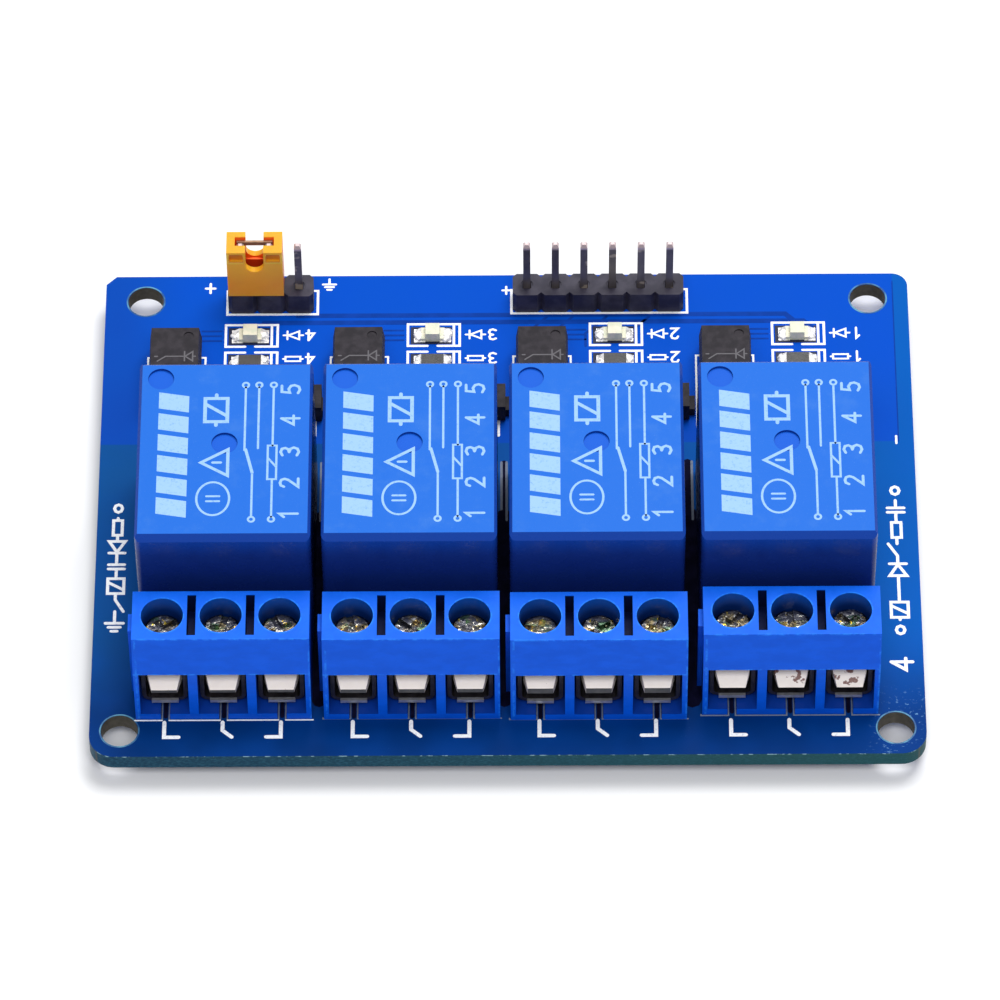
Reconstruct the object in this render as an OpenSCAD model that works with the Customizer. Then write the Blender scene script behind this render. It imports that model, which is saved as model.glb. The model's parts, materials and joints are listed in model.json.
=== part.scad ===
// Four-channel relay module board.
// +X runs along the row of relays, +Y points from the screw terminals to the pin
// headers and +Z points up. The origin is the middle of the board in plan, at the
// level of the trimmed lead ends that the board stands on. Sizes are millimetres.

/* [Board] */
// Width of the circuit board, along the row of relays
board_w = 71.8; // [71:0.1:76]
// Depth of the circuit board, from the terminal edge to the header edge
board_d = 52.4; // [52.2:0.1:58]
// Thickness of the circuit board
board_t = 1.6; // [1:0.1:2.4]
// Corner radius at the terminal edge
front_corner_r = 2.2; // [0.5:0.1:2.4]
// Corner radius at the header edge
rear_corner_r = 1.4; // [0.5:0.1:2.4]
// Leg of the snapped-off chamfer at the left rear corner
snap_chamfer = 0.9; // [0.3:0.1:1.3]
// Diameter of the four mounting holes
hole_d = 3.2; // [2.5:0.1:3.3]
// Rear mounting holes: centre to the side edge
rear_hole_side = 3.6; // [2.4:0.05:4]
// Rear mounting holes: centre to the rear edge
rear_hole_edge = 2.85; // [2.4:0.05:4]
// Front mounting holes: centre to the side edge
front_hole_side = 2.6; // [2.4:0.05:2.7]
// Front mounting holes: centre to the front edge
front_hole_edge = 2.7; // [2.4:0.05:2.8]
// Length of lead left below the board after trimming
stub_h = 1.9; // [1.3:0.1:3]

/* [Layout] */
// Distance from one relay channel to the next
channel_pitch = 16.15; // [16.1:0.01:16.25]
// Distance from one driver circuit to the next
driver_pitch = 16.25; // [16.1:0.05:16.4]
// Terminal blocks: front face to the front edge of the board
terminal_margin = 3.9; // [3.8:0.05:4.5]
// Gap between a terminal block and the relay behind it
terminal_relay_gap = 0.3; // [0.3:0.05:1]
// Pin headers: rear face to the rear edge of the board
header_margin = 1.84; // [1:0.02:2.2]
// Optocouplers: middle to the middle of the pin headers
opto_to_header = 8.79; // [8.5:0.01:9.2]
// Indicators: middle to the middle of the pin headers
led_to_header = 3.84; // [3.4:0.01:4.2]
// Series resistors: middle to the middle of the pin headers
series_to_header = 6.84; // [6.4:0.01:7.2]
// Transistors and base resistors: middle to the relays' rear face
transistor_to_relay = 2.2; // [1.8:0.05:3]
// Flyback diodes: middle to the relays' rear face
diode_to_relay = 6.7; // [5.5:0.05:7.5]
// Clearance between pieces that slip into each other
fit = 0.05; // [0.03:0.01:0.08]

/* [Relay] */
// Width of a relay cover
relay_w = 14.95; // [14.8:0.05:15.2]
// Length of a relay cover
relay_l = 18.8; // [18.4:0.05:19.2]
// Height of a relay above the board
relay_h = 15.6; // [15.3:0.1:18]
// Side wall of a relay cover
relay_wall = 0.8; // [0.5:0.05:0.9]
// Roof of a relay cover
relay_roof = 1; // [0.6:0.05:1.2]
// Height of the feet that hold the relay off the board
relay_foot = 0.3; // [0.2:0.05:0.5]
// Bevel along the front top edge of a relay cover
relay_front_bevel = 0.6; // [0.2:0.05:0.8]
// Bevel along the other top edges of a relay cover
relay_edge_bevel = 0.25; // [0.1:0.05:0.5]
// Radius of the upright corners of a relay cover
relay_corner_r = 0.5; // [0.2:0.05:0.8]
// Diameter of the two round marks moulded in the cover's roof
relay_mark_d = 2.25; // [1.5:0.05:3]
// Depth of the two round marks
relay_mark_depth = 0.25; // [0.1:0.05:0.4]
// Thickness of the relay base
base_t = 1.5; // [1:0.1:1.8]
// Thickness of the iron yoke
yoke_t = 1.2; // [0.8:0.05:1.4]
// Width of the iron yoke
yoke_w = 8; // [6:0.1:9]
// Diameter of the iron core
core_d = 3; // [2:0.1:3.4]
// Diameter of the pole face on top of the core
pole_d = 5.6; // [4:0.1:6.4]
// Thickness of the pole face
pole_t = 0.8; // [0.5:0.05:1]
// Height of the bobbin
bobbin_h = 7; // [6:0.1:7.1]
// Thickness of the bobbin flanges
flange_t = 0.8; // [0.5:0.05:1.2]
// Wall of the bobbin tube
bobbin_wall = 0.75; // [0.4:0.05:0.9]
// Outer diameter of the wound coil
coil_d = 8.8; // [7.5:0.1:9]
// Thickness of the armature
armature_t = 0.9; // [0.6:0.05:1]
// Width of the armature
armature_w = 7; // [5:0.1:8]
// Angle through which the armature closes
armature_travel = 3; // [2:0.1:3.2]
// Thickness of the moving contact leaf
leaf_t = 0.25; // [0.15:0.01:0.3]
// Width of the moving contact leaf
leaf_w = 4; // [3:0.1:5]
// Diameter of the contact buttons
contact_d = 2.2; // [1.6:0.1:2.4]
// Height of a contact button
contact_t = 0.45; // [0.3:0.05:0.5]
// Thickness of the relay's contact blades
blade_t = 0.4; // [0.3:0.05:0.5]
// Width of the relay's contact blades
blade_w = 1; // [0.7:0.05:1.1]
// Side of the square coil pins
coil_pin_w = 0.6; // [0.4:0.05:0.7]

/* [Screw terminal] */
// Distance between the poles of a terminal block
pole_pitch = 5; // [5:0.01:5.04]
// Depth of a terminal block on the board
terminal_d = 7.5; // [7.5:0.05:7.8]
// Height of a terminal block
terminal_h = 10; // [9.6:0.1:12]
// Set-back of the upper front face at the top
front_setback = 1.25; // [0.8:0.05:1.4]
// Set-back of the front face at the top of the wire openings
opening_setback = 0.25; // [0:0.05:0.4]
// Set-back of the upper rear face at the top
rear_setback = 1.2; // [0.5:0.05:1.5]
// Width of a wire opening
opening_w = 4.2; // [4.15:0.01:4.3]
// Height of the top edge of the wire openings above the board
opening_top = 6.2; // [5.9:0.05:6.4]
// Thickness of the floor below the wire openings
floor_t = 0.75; // [0.6:0.05:0.9]
// Thickness of the front wall above the wire openings
front_wall = 0.9; // [0.7:0.05:1.1]
// Thickness of the rear wall
rear_wall = 0.85; // [0.6:0.05:0.9]
// Thickness of the shoulder under each screw head
shoulder_t = 0.45; // [0.3:0.05:0.6]
// Diameter of the bore above each screw
bore_d = 3.6; // [3.5:0.05:3.9]
// Diameter of a screw head
head_d = 3.3; // [3:0.05:3.4]
// Height of a screw head
head_h = 0.9; // [0.7:0.05:1.1]
// Diameter of a screw shank
shank_d = 2.4; // [2:0.05:2.5]
// Width of the slot in a screw head
slot_w = 0.6; // [0.4:0.05:0.8]
// Width of the relief slots between the poles
relief_w = 0.75; // [0.5:0.05:0.9]
// Length of the relief slots between the poles
relief_l = 4.2; // [3.5:0.1:4.6]
// Depth of the relief slots between the poles
relief_h = 2.4; // [1.5:0.1:2.6]
// Width of the slit in the floor of each wire opening
slit_w = 0.8; // [0.5:0.05:1.2]
// Outer width of a clamp cage
cage_w = 3.9; // [3.8:0.02:3.96]
// Sheet thickness of a clamp cage
cage_t = 0.35; // [0.25:0.01:0.4]
// Radius of the lower corners of a clamp cage
cage_r = 0.8; // [0.5:0.05:1]
// Length of a clamp cage along the wire
cage_l = 4.5; // [4:0.05:4.5]
// How far the bottom plate of a clamp cage stands out in front of its sides
cage_lip = 0.3; // [0.1:0.05:0.5]
// Thickness of the threaded top of a clamp cage
nut_t = 0.8; // [0.6:0.05:0.85]
// Clear height that the clamp opens to
clamp_open = 1.9; // [1.6:0.05:1.9]
// How far the clamps are left above their lowest point
clamp_rest = 0.4; // [0:0.05:1.2]
// Thickness of the contact tongue
tongue_t = 0.7; // [0.5:0.05:0.7]
// Width of the tip of the contact tongue
tongue_tip_w = 2.2; // [1.6:0.1:2.8]
// Width of the terminal's solder pin
terminal_pin_w = 1; // [0.7:0.05:1.1]

/* [Pin headers] */
// Distance between header pins
pin_pitch = 2.54; // [2.5:0.01:2.6]
// Side of a square header pin
pin_w = 0.64; // [0.5:0.01:0.66]
// Depth of a header body
header_d = 2.44; // [2.2:0.02:2.6]
// Height of a header body
header_h = 2.5; // [2:0.05:3]
// Length of a header pin above its body
pin_rise = 5.84; // [5.5:0.02:5.9]
// Middle of the input header along X
input_header_x = 8.16; // [8:0.02:8.4]
// Middle of the power header along X
power_header_x = -21.06; // [-21.3:0.02:-20.8]

/* [Jumper cap] */
// Width of the jumper cap
cap_w = 4.95; // [4.8:0.05:5]
// Depth of the jumper cap
cap_d = 2.4; // [2.3:0.05:2.5]
// Height of the jumper cap
cap_h = 6.15; // [6.1:0.05:7]
// Width of the notch through the top of the cap
notch_w = 1.6; // [1.2:0.05:1.6]
// Depth of the notch through the top of the cap
notch_h = 2.7; // [2.2:0.05:3]
// Thickness of the spring contact
contact_sheet = 0.22; // [0.15:0.01:0.24]

/* [Small parts] */
// Width of an optocoupler
opto_w = 4.6; // [4.4:0.05:4.8]
// Length of an optocoupler
opto_l = 6.5; // [6.2:0.05:6.6]
// Height of an optocoupler's body
opto_h = 3.5; // [3:0.05:3.8]
// Distance between the two rows of optocoupler leads
opto_row = 7.62; // [7.4:0.02:7.8]
// Distance between the optocoupler leads of one row
opto_lead_pitch = 2.54; // [2.5:0.02:2.6]
// Thickness of the optocoupler leads
lead_t = 0.25; // [0.2:0.01:0.3]
// Length of a chip resistor or indicator
chip_l = 2; // [1.8:0.05:2.2]
// Width of a chip resistor or indicator
chip_w = 1.25; // [1.1:0.05:1.4]
// Height of a chip resistor
chip_h = 0.5; // [0.35:0.05:0.7]
// Length of the clear block on an indicator
lens_l = 1.4; // [1:0.05:1.5]
// Height of an indicator
led_h = 1.1; // [0.9:0.05:1.3]
// Length of a transistor's body
transistor_l = 2.9; // [2.7:0.05:3.1]
// Width of a transistor's body
transistor_w = 1.3; // [1.2:0.05:1.4]
// Distance between a transistor's two leads on one side
transistor_pitch = 1.9; // [1.8:0.05:2]
// Height of a transistor
transistor_h = 1.1; // [0.9:0.05:1.2]
// Length of a flyback diode's body
diode_l = 4.2; // [3.9:0.05:4.6]
// Width of a flyback diode's body
diode_w = 2.6; // [2.3:0.05:2.8]
// Height of a flyback diode
diode_h = 2.1; // [1.9:0.05:2.4]
// Width of a flyback diode's leads
diode_lead_w = 1.5; // [1.2:0.05:1.7]
// Height of a solder fillet under the board
solder_h = 1; // [0.6:0.05:1.1]

/* [Hidden] */
$fn = 48;
eps = 0.01;

channels = 4;
poles = 3;
input_pins = 6;
power_pins = 3;

// Level of the board's top face; every piece is drawn from it.
top = stub_h + board_t;
lead_end = -board_t - stub_h;

// Middle of the row of relays, which is not quite the middle of the board.
row_x = -0.15;
// How far each relay and terminal block sits off its place in the row.
relay_dx = [0.25, -0.05, -0.2, -0.05];
terminal_dx = [0.02, 0.04, -0.1, 0.18];
terminal_dy = [0, -0.1, -0.25, 0.25];

terminal_y = -board_d / 2 + terminal_margin;
relay_y = terminal_y + terminal_d + terminal_relay_gap;
relay_back = relay_y + relay_l;
header_y = board_d / 2 - header_margin - header_d / 2;

function row_place(i, pitch) = (i - (channels - 1) / 2) * pitch;
function relay_x(i) = row_x + row_place(i, channel_pitch) + relay_dx[i];
function terminal_x(i) = row_x + row_place(i, channel_pitch) + terminal_dx[i];
function pole_x(p) = (p - (poles - 1) / 2) * pole_pitch;

// Driver parts of each channel: columns across the row, and places along Y.
opto_dx = -5;
base_resistor_dx = -1.4;
led_dx = 1.5;
transistor_dx = 5.5;
diode_dx = 5.9;
opto_y = header_y - opto_to_header;
led_y = header_y - led_to_header;
series_y = header_y - series_to_header;
transistor_y = relay_back + transistor_to_relay;
diode_y = relay_back + diode_to_relay;
function driver_x(i) = row_place(i, driver_pitch);

// The two round marks in a relay's roof: place across it, and from its rear face.
relay_marks = [[-5.6, 1.75], [0, 8.7]];
// The four feet under a relay base: radius, and distance in from the base's edges.
foot_r = 0.6;
foot_side = 2.6;
foot_end = 1.35;

// Relay mechanism, drawn from the relay's front face and the board's top face.
inner_w = relay_w - 2 * relay_wall;
base_w = inner_w - 2 * fit;
base_l = relay_l - 2 * relay_wall - 2 * fit;
base_top = relay_foot + base_t;
bobbin_z = base_top + yoke_t;
pole_z = bobbin_z + bobbin_h;
yoke_top = pole_z + pole_t;
leaf_bend = 0.9;
yoke_back = relay_l - relay_wall - leaf_bend;
coil_gap = 0.5;
core_y = yoke_back - yoke_t - coil_gap - coil_d / 2;
flange_w = inner_w - 0.5;
flange_l = coil_d + 0.6;
yoke_front = core_y - pole_d / 2 - 0.2;
hinge_y = yoke_back;
hinge_z = yoke_top + fit;
contact_y = 3.2;
lever = hinge_y - contact_y;
plate_l = hinge_y - core_y + pole_d / 2 + 0.6;
button_top = armature_t + leaf_t + contact_t;
no_top = hinge_z + armature_t - contact_t - fit;
nc_bottom = hinge_z + (lever + contact_d / 2) * sin(armature_travel)
    + button_top * cos(armature_travel) + fit;
contact_pin_x = 6;
contact_pin_y = 2.3;
com_y = yoke_back - yoke_t / 2;
coil_pin_y = relay_l - 4.3;
arm_l = 2.2;

// Terminal block, drawn from its front face and the board's top face.
terminal_w = poles * pole_pitch + 0.11;
cavity_back = terminal_d - rear_wall;
clamp_low = floor_t + fit;
clamp_z = clamp_low + clamp_rest;
tongue_z = clamp_low + cage_t + clamp_open + fit;
tongue_top = tongue_z + tongue_t;
cage_h = cage_t + clamp_open + tongue_t + 2 * fit + nut_t;
roof_z = clamp_low + clamp_open + cage_h + fit;
head_z = roof_z + shoulder_t + fit;
screw_y = 3.77;
tongue_w = cage_w - 2 * cage_t - 0.2;
tongue_front = 0.6;
tongue_taper = 1.45;
cage_front = 1.2;
cage_nut_front = 2;
pin_front = cavity_back - fit - tongue_t;
relief_back = terminal_d - rear_setback - 0.4;
// The dovetail rib on a block's left side, by which blocks join in a row.
rib_w = 0.4;
rib_front = 3;
rib_l = 1.8;
rib_h = terminal_h - 1.2;

// Lead holes: radius of the hole for each kind of lead.
blade_hole_r = 0.65;
terminal_hole_r = 0.7;
header_hole_r = 0.5;
opto_hole_r = 0.4;
opto_lead_w = 0.5;
opto_shoulder_w = 1.2;

relay_pins = [
    [0, com_y],
    [-contact_pin_x, coil_pin_y],
    [contact_pin_x, coil_pin_y],
    [-contact_pin_x, contact_pin_y],
    [contact_pin_x, contact_pin_y]
];

// ---- shared shapes ----------------------------------------------------------

// A box given by its low corner and size, centred on X.
module block(w, y0, z0, l, h) {
    translate([-w / 2, y0, z0]) cube([w, l, h]);
}

module rounded_rect(w, l, r) {
    square([w - 2 * r, l], center = true);
    square([w, l - 2 * r], center = true);
    for (x = [-1, 1], y = [-1, 1])
        translate([x * (w / 2 - r), y * (l / 2 - r)]) circle(r);
}

// Extrudes a profile drawn in (Y, Z) along X, centred on X.
module along_x(w) {
    translate([-w / 2, 0, 0]) rotate([90, 0, 90]) linear_extrude(w) children();
}

// Extrudes a profile drawn in (X, Z) along Y, from y0.
module along_y(y0, l) {
    translate([0, y0 + l, 0]) rotate([90, 0, 0]) linear_extrude(l) children();
}

module at_relay(i) {
    translate([relay_x(i), relay_y, top]) children();
}

module at_terminal(i) {
    translate([terminal_x(i), terminal_y + terminal_dy[i], top]) children();
}

module at_pole(i, p) {
    at_terminal(i) translate([pole_x(p), 0, 0]) children();
}

module at_driver(i, dx, y) {
    translate([driver_x(i) + dx, y, top]) children();
}

module at_header(x, count) {
    for (k = [0:count - 1])
        translate([x + (k - (count - 1) / 2) * pin_pitch, header_y, top]) children();
}

// ---- circuit board ----------------------------------------------------------

module corner_cut(x, y, r) {
    translate([x * board_w / 2, y * board_d / 2]) difference() {
        square(2 * r, center = true);
        translate([-x * r, -y * r]) circle(r);
    }
}

module board_outline() {
    difference() {
        square([board_w, board_d], center = true);
        for (x = [-1, 1]) corner_cut(x, -1, front_corner_r);
        corner_cut(1, 1, rear_corner_r);
        translate([-board_w / 2, board_d / 2])
            rotate(45) square(snap_chamfer * sqrt(2), center = true);
    }
}

module mounting_holes() {
    for (x = [-1, 1]) {
        translate([x * (board_w / 2 - rear_hole_side), board_d / 2 - rear_hole_edge, 0])
            cylinder(h = board_t + 2, d = hole_d);
        translate([x * (board_w / 2 - front_hole_side), front_hole_edge - board_d / 2, 0])
            cylinder(h = board_t + 2, d = hole_d);
    }
}

module lead_hole(r) {
    translate([0, 0, -board_t - 1]) cylinder(h = board_t + 2, r = r, $fn = 24);
}

// Places its children at every lead of one kind.
module at_relay_leads() {
    for (i = [0:channels - 1], q = relay_pins)
        at_relay(i) translate([q[0], q[1], 0]) children();
}

module at_terminal_leads() {
    for (i = [0:channels - 1], p = [0:poles - 1])
        at_pole(i, p) translate([0, pin_front + tongue_t / 2, 0]) children();
}

module at_opto_leads() {
    for (i = [0:channels - 1], x = [-1, 1], y = [-1, 1])
        at_driver(i, opto_dx + x * opto_lead_pitch / 2, opto_y + y * opto_row / 2) children();
}

module circuit_board() {
    color("royalblue") difference() {
        translate([0, 0, stub_h]) linear_extrude(board_t) board_outline();
        translate([0, 0, stub_h - 1]) mounting_holes();
        at_relay_leads() lead_hole(blade_hole_r);
        at_terminal_leads() lead_hole(terminal_hole_r);
        at_opto_leads() lead_hole(opto_hole_r);
        at_header(input_header_x, input_pins) lead_hole(header_hole_r);
        at_header(power_header_x, power_pins) lead_hole(header_hole_r);
    }
}

// ---- relays -----------------------------------------------------------------

module relay_cover_outline() {
    f = relay_front_bevel;
    b = relay_edge_bevel;
    intersection() {
        translate([0, relay_l / 2, relay_foot])
            linear_extrude(relay_h - relay_foot)
                rounded_rect(relay_w, relay_l, relay_corner_r);
        along_x(relay_w + 2) polygon([
            [0, 0], [0, relay_h - f], [f * 0.8, relay_h],
            [relay_l - b, relay_h], [relay_l, relay_h - b], [relay_l, 0]
        ]);
        along_y(-1, relay_l + 2) polygon([
            [-relay_w / 2, 0], [-relay_w / 2, relay_h - b], [b - relay_w / 2, relay_h],
            [relay_w / 2 - b, relay_h], [relay_w / 2, relay_h - b], [relay_w / 2, 0]
        ]);
    }
}

module relay_cover(i) {
    color("dodgerblue") at_relay(i) difference() {
        relay_cover_outline();
        block(inner_w, relay_wall, -1, relay_l - 2 * relay_wall, relay_h - relay_roof + 1);
        for (q = relay_marks)
            translate([q[0], relay_l - q[1], relay_h - relay_mark_depth])
                cylinder(h = 1, d = relay_mark_d);
    }
}

module relay_base(i) {
    color("midnightblue") at_relay(i) difference() {
        union() {
            block(base_w, relay_wall + fit, relay_foot, base_l, base_t);
            for (x = [-1, 1], y = [-1, 1])
                translate([x * (base_w / 2 - foot_side), relay_l / 2, 0])
                    translate([0, y * (base_l / 2 - foot_end), 0])
                        cylinder(h = relay_foot + eps, r = foot_r, $fn = 24);
        }
        for (q = relay_pins)
            translate([q[0], q[1], 0])
                cube([blade_w + 2 * fit, coil_pin_w + 2 * fit, 8], center = true);
    }
}

module relay_irons() {
    color("silver") for (i = [0:channels - 1]) at_relay(i) {
        block(yoke_w, yoke_front, base_top, yoke_back - yoke_front, yoke_t);
        block(yoke_w, yoke_back - yoke_t, base_top, yoke_t, yoke_top - base_top);
        translate([0, core_y, base_top]) cylinder(h = pole_z - base_top + eps, d = core_d);
        translate([0, core_y, pole_z]) cylinder(h = pole_t, d = pole_d);
    }
}

module relay_bobbins() {
    bore = core_d + 2 * fit;
    color("ivory") for (i = [0:channels - 1]) at_relay(i) difference() {
        union() {
            for (z = [bobbin_z, pole_z - flange_t])
                block(flange_w, core_y - flange_l / 2, z, flange_l, flange_t);
            translate([0, core_y, bobbin_z])
                cylinder(h = bobbin_h, d = bore + 2 * bobbin_wall);
        }
        translate([0, core_y, bobbin_z - 1]) cylinder(h = bobbin_h + 2, d = bore);
    }
}

module relay_coils() {
    tube_d = core_d + 4 * fit + 2 * bobbin_wall;
    wound_h = bobbin_h - 2 * flange_t;
    color("peru") for (i = [0:channels - 1]) at_relay(i)
        translate([0, core_y, bobbin_z + flange_t]) difference() {
            cylinder(h = wound_h, d = coil_d);
            translate([0, 0, -1]) cylinder(h = wound_h + 2, d = tube_d);
        }
}

module contact_button(z, h) {
    translate([0, contact_y, z]) cylinder(h = h, d = contact_d);
}

// A fixed contact: its blade stands on one side and its arm reaches the middle.
module fixed_contact(side, arm_z) {
    reach = contact_pin_x + blade_w / 2 + contact_d / 2 + 0.1;
    blade_y = contact_pin_y - blade_t / 2;
    translate([side * contact_pin_x, 0, 0])
        block(blade_w, blade_y, lead_end, blade_t, arm_z + blade_t - lead_end);
    translate([side * (contact_pin_x + blade_w / 2 - reach / 2), 0, 0])
        block(reach, blade_y, arm_z, arm_l, blade_t);
}

module relay_contacts() {
    color("gold") for (i = [0:channels - 1]) at_relay(i) {
        block(blade_w, com_y - blade_t / 2, lead_end, blade_t, base_top - lead_end);
        fixed_contact(-1, no_top - contact_t - blade_t);
        contact_button(no_top - contact_t - eps, contact_t + eps);
        fixed_contact(1, nc_bottom + contact_t);
        contact_button(nc_bottom, contact_t + eps);
    }
}

module relay_coil_pins() {
    color("lightgray") for (i = [0:channels - 1], x = [-1, 1]) at_relay(i)
        translate([x * contact_pin_x, coil_pin_y - coil_pin_w / 2, 0])
            block(coil_pin_w, 0, lead_end, coil_pin_w, bobbin_z - lead_end);
}

// The armature carries the moving contact; it is drawn open, as without current.
module relay_armature(i) {
    color("gainsboro") at_relay(i)
        translate([0, hinge_y, hinge_z]) rotate([-armature_travel, 0, 0]) {
            block(armature_w, -plate_l, 0, plate_l, armature_t);
            block(leaf_w, -lever - contact_d / 2, armature_t, lever, leaf_t);
            translate([0, -lever, armature_t - contact_t])
                cylinder(h = 2 * contact_t + leaf_t, d = contact_d);
        }
}

// ---- screw terminals --------------------------------------------------------

module terminal_profile() {
    polygon([
        [0, 0],
        [opening_setback, opening_top],
        [front_setback, terminal_h],
        [terminal_d - rear_setback, terminal_h],
        [terminal_d, opening_top],
        [terminal_d, 0]
    ]);
}

module pole_space() {
    block(opening_w, -1, floor_t, front_wall + 1 + eps, opening_top - floor_t);
    block(opening_w, front_wall, floor_t, cavity_back - front_wall, roof_z - floor_t);
    translate([0, screw_y, roof_z - eps])
        cylinder(h = shoulder_t + 2 * eps, d = shank_d + 0.4);
    translate([0, screw_y, roof_z + shoulder_t]) cylinder(h = terminal_h, d = bore_d);
    block(slit_w, -1, -1, 3.4, floor_t + 1 + eps);
    block(terminal_pin_w + 2 * fit, pin_front - fit, -1, tongue_t + 2 * fit, floor_t + 1 + eps);
}

module terminal_housing(i) {
    color("dodgerblue") at_terminal(i) difference() {
        union() {
            along_x(terminal_w) terminal_profile();
            translate([-terminal_w / 2, 0, 0])
                block(2 * rib_w, rib_front, 0, rib_l, rib_h);
        }
        for (p = [0:poles - 1]) translate([pole_x(p), 0, 0]) pole_space();
        for (p = [1:poles - 1])
            translate([pole_x(p) - pole_pitch / 2, 0, 0])
                block(relief_w, relief_back - relief_l, terminal_h - relief_h, relief_l, 9);
    }
}

// Each screw stands at the angle at which its last turn left it.
function screw_angle(i, p) = 35 + 67 * i + 41 * p;

module terminal_screw(i, p) {
    recess_h = head_h * 0.5;
    edge = 0.2;
    color("gainsboro") at_pole(i, p)
        translate([0, screw_y, 0]) rotate([0, 0, screw_angle(i, p)]) difference() {
            union() {
                translate([0, 0, tongue_top + fit])
                    cylinder(h = head_z - tongue_top, d = shank_d);
                translate([0, 0, head_z]) cylinder(h = head_h - edge, d = head_d);
                translate([0, 0, head_z + head_h - edge - eps])
                    cylinder(h = edge + eps, d1 = head_d, d2 = head_d - 2.5 * edge);
            }
            block(head_d + 1, -slot_w / 2, head_z + head_h - recess_h, slot_w, 2);
            block(slot_w, -head_d * 0.32, head_z + head_h - recess_h, head_d * 0.64, 2);
        }
}

// A clamp cage seen along the wire: rounded below, square above.
module cage_section(w, z0, z1, r) {
    translate([-w / 2, z0 + r]) square([w, z1 - z0 - r]);
    translate([r - w / 2, z0]) square([w - 2 * r, r + eps]);
    for (x = [-1, 1]) translate([x * (w / 2 - r), z0 + r]) circle(r);
}

module terminal_clamp(i, p) {
    inner_cage_w = cage_w - 2 * cage_t;
    color("darkgray") at_pole(i, p) translate([0, 0, clamp_z]) difference() {
        union() {
            along_y(cage_front, cage_l) cage_section(cage_w, 0, cage_h, cage_r);
            block(cage_w - 2 * cage_r, cage_front - cage_lip, 0, cage_lip + eps, cage_t);
        }
        along_y(cage_front - 1, cage_l + 2)
            cage_section(inner_cage_w, cage_t, cage_h - nut_t, cage_r - cage_t);
        block(inner_cage_w, cage_front - 1, cage_h - nut_t - 1,
            cage_nut_front - cage_front + 1, nut_t + 2);
        translate([0, screw_y, 1]) cylinder(h = cage_h, d = shank_d + 2 * fit);
    }
}

module terminal_pins() {
    color("whitesmoke") for (i = [0:channels - 1], p = [0:poles - 1]) at_pole(i, p) {
        translate([0, 0, tongue_z]) linear_extrude(tongue_t) polygon([
            [-tongue_tip_w / 2, tongue_front],
            [tongue_tip_w / 2, tongue_front],
            [tongue_w / 2, tongue_front + tongue_taper],
            [tongue_w / 2, pin_front + tongue_t],
            [-tongue_w / 2, pin_front + tongue_t],
            [-tongue_w / 2, tongue_front + tongue_taper]
        ]);
        block(terminal_pin_w, pin_front, lead_end, tongue_t, tongue_top - lead_end);
    }
}

// ---- pin headers and jumper cap ---------------------------------------------

module header_cell() {
    c = 0.35;
    w = pin_pitch / 2;
    d = header_d / 2;
    well_d = 1.1;
    well_h = 0.1;
    difference() {
        linear_extrude(header_h) polygon([
            [-w, c - d], [c - w, -d], [w - c, -d], [w, c - d],
            [w, d - c], [w - c, d], [c - w, d], [-w, d - c]
        ]);
        cube([pin_w + 2 * fit, pin_w + 2 * fit, 3 * header_h], center = true);
        translate([0, 0, header_h - well_h]) cylinder(h = 1, d = well_d, $fn = 24);
    }
}

// A square pin with both ends chamfered on all four sides.
module header_pin() {
    c = 0.16;
    w = pin_w / 2;
    low = lead_end;
    high = header_h + pin_rise;
    profile = [
        [c - w, low], [w - c, low], [w, low + 2 * c], [w, high - 2 * c],
        [w - c, high], [c - w, high], [-w, high - 2 * c], [-w, low + 2 * c]
    ];
    intersection() {
        along_x(pin_w) polygon(profile);
        along_y(-w, pin_w) polygon(profile);
    }
}

module input_header_body() {
    color("black") at_header(input_header_x, input_pins) header_cell();
}

module input_header_pins() {
    color("silver") at_header(input_header_x, input_pins) header_pin();
}

module power_header_body() {
    color("black") at_header(power_header_x, power_pins) header_cell();
}

module power_header_pins() {
    color("silver") at_header(power_header_x, power_pins) header_pin();
}

// The cap sits on the first two pins of the power header.
cap_x = power_header_x - pin_pitch / 2;
cap_z = top + header_h + fit;
clip_in = pin_w / 2 + fit;
clip_out = clip_in + contact_sheet;
clip_w = pin_pitch + pin_w + 0.5;
clip_low = 0.6;
clip_high = cap_h - notch_h - 0.15;
clip_lip = 0.9;
window_w = pin_w + 0.3;
socket_w = clip_w + 2 * contact_sheet + 2 * fit;
socket_l = 2 * clip_out + 2 * fit;
socket_h = cap_h - 1;
// The strip that joins the two clips, seen across the notch.
bridge_w = pin_pitch + pin_w;
bridge_low = cap_h - 0.9;
bridge_high = cap_h - 0.45;
// Shallow grips in the front and rear face, beside the notch.
grip_w = 1.2;
grip_depth = 0.25;
grip_low = cap_h - 1.25;
grip_h = 0.95;

module jumper_cap() {
    color("orange") translate([cap_x, header_y, cap_z]) difference() {
        translate([-cap_w / 2, -cap_d / 2, 0]) cube([cap_w, cap_d, cap_h]);
        block(socket_w, -socket_l / 2, -1, socket_l, socket_h + 1);
        for (x = [-1, 1]) translate([x * pin_pitch / 2, 0, 0])
            block(window_w, -clip_in, 0, clip_in + clip_out + fit, cap_h + 1);
        block(pin_pitch, clip_in - fit, socket_h - 1, contact_sheet + 2 * fit, 3);
        along_y(-cap_d, 2 * cap_d) translate([0, cap_h - notch_h + notch_w / 2]) {
            circle(d = notch_w);
            translate([-notch_w / 2, 0]) square([notch_w, notch_h]);
        }
        for (x = [-1, 1], y = [-1, 1]) translate([x * (cap_w + notch_w) / 4, 0, 0])
            block(grip_w, y * cap_d / 2 - grip_depth, grip_low, 2 * grip_depth, grip_h);
    }
}

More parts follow.
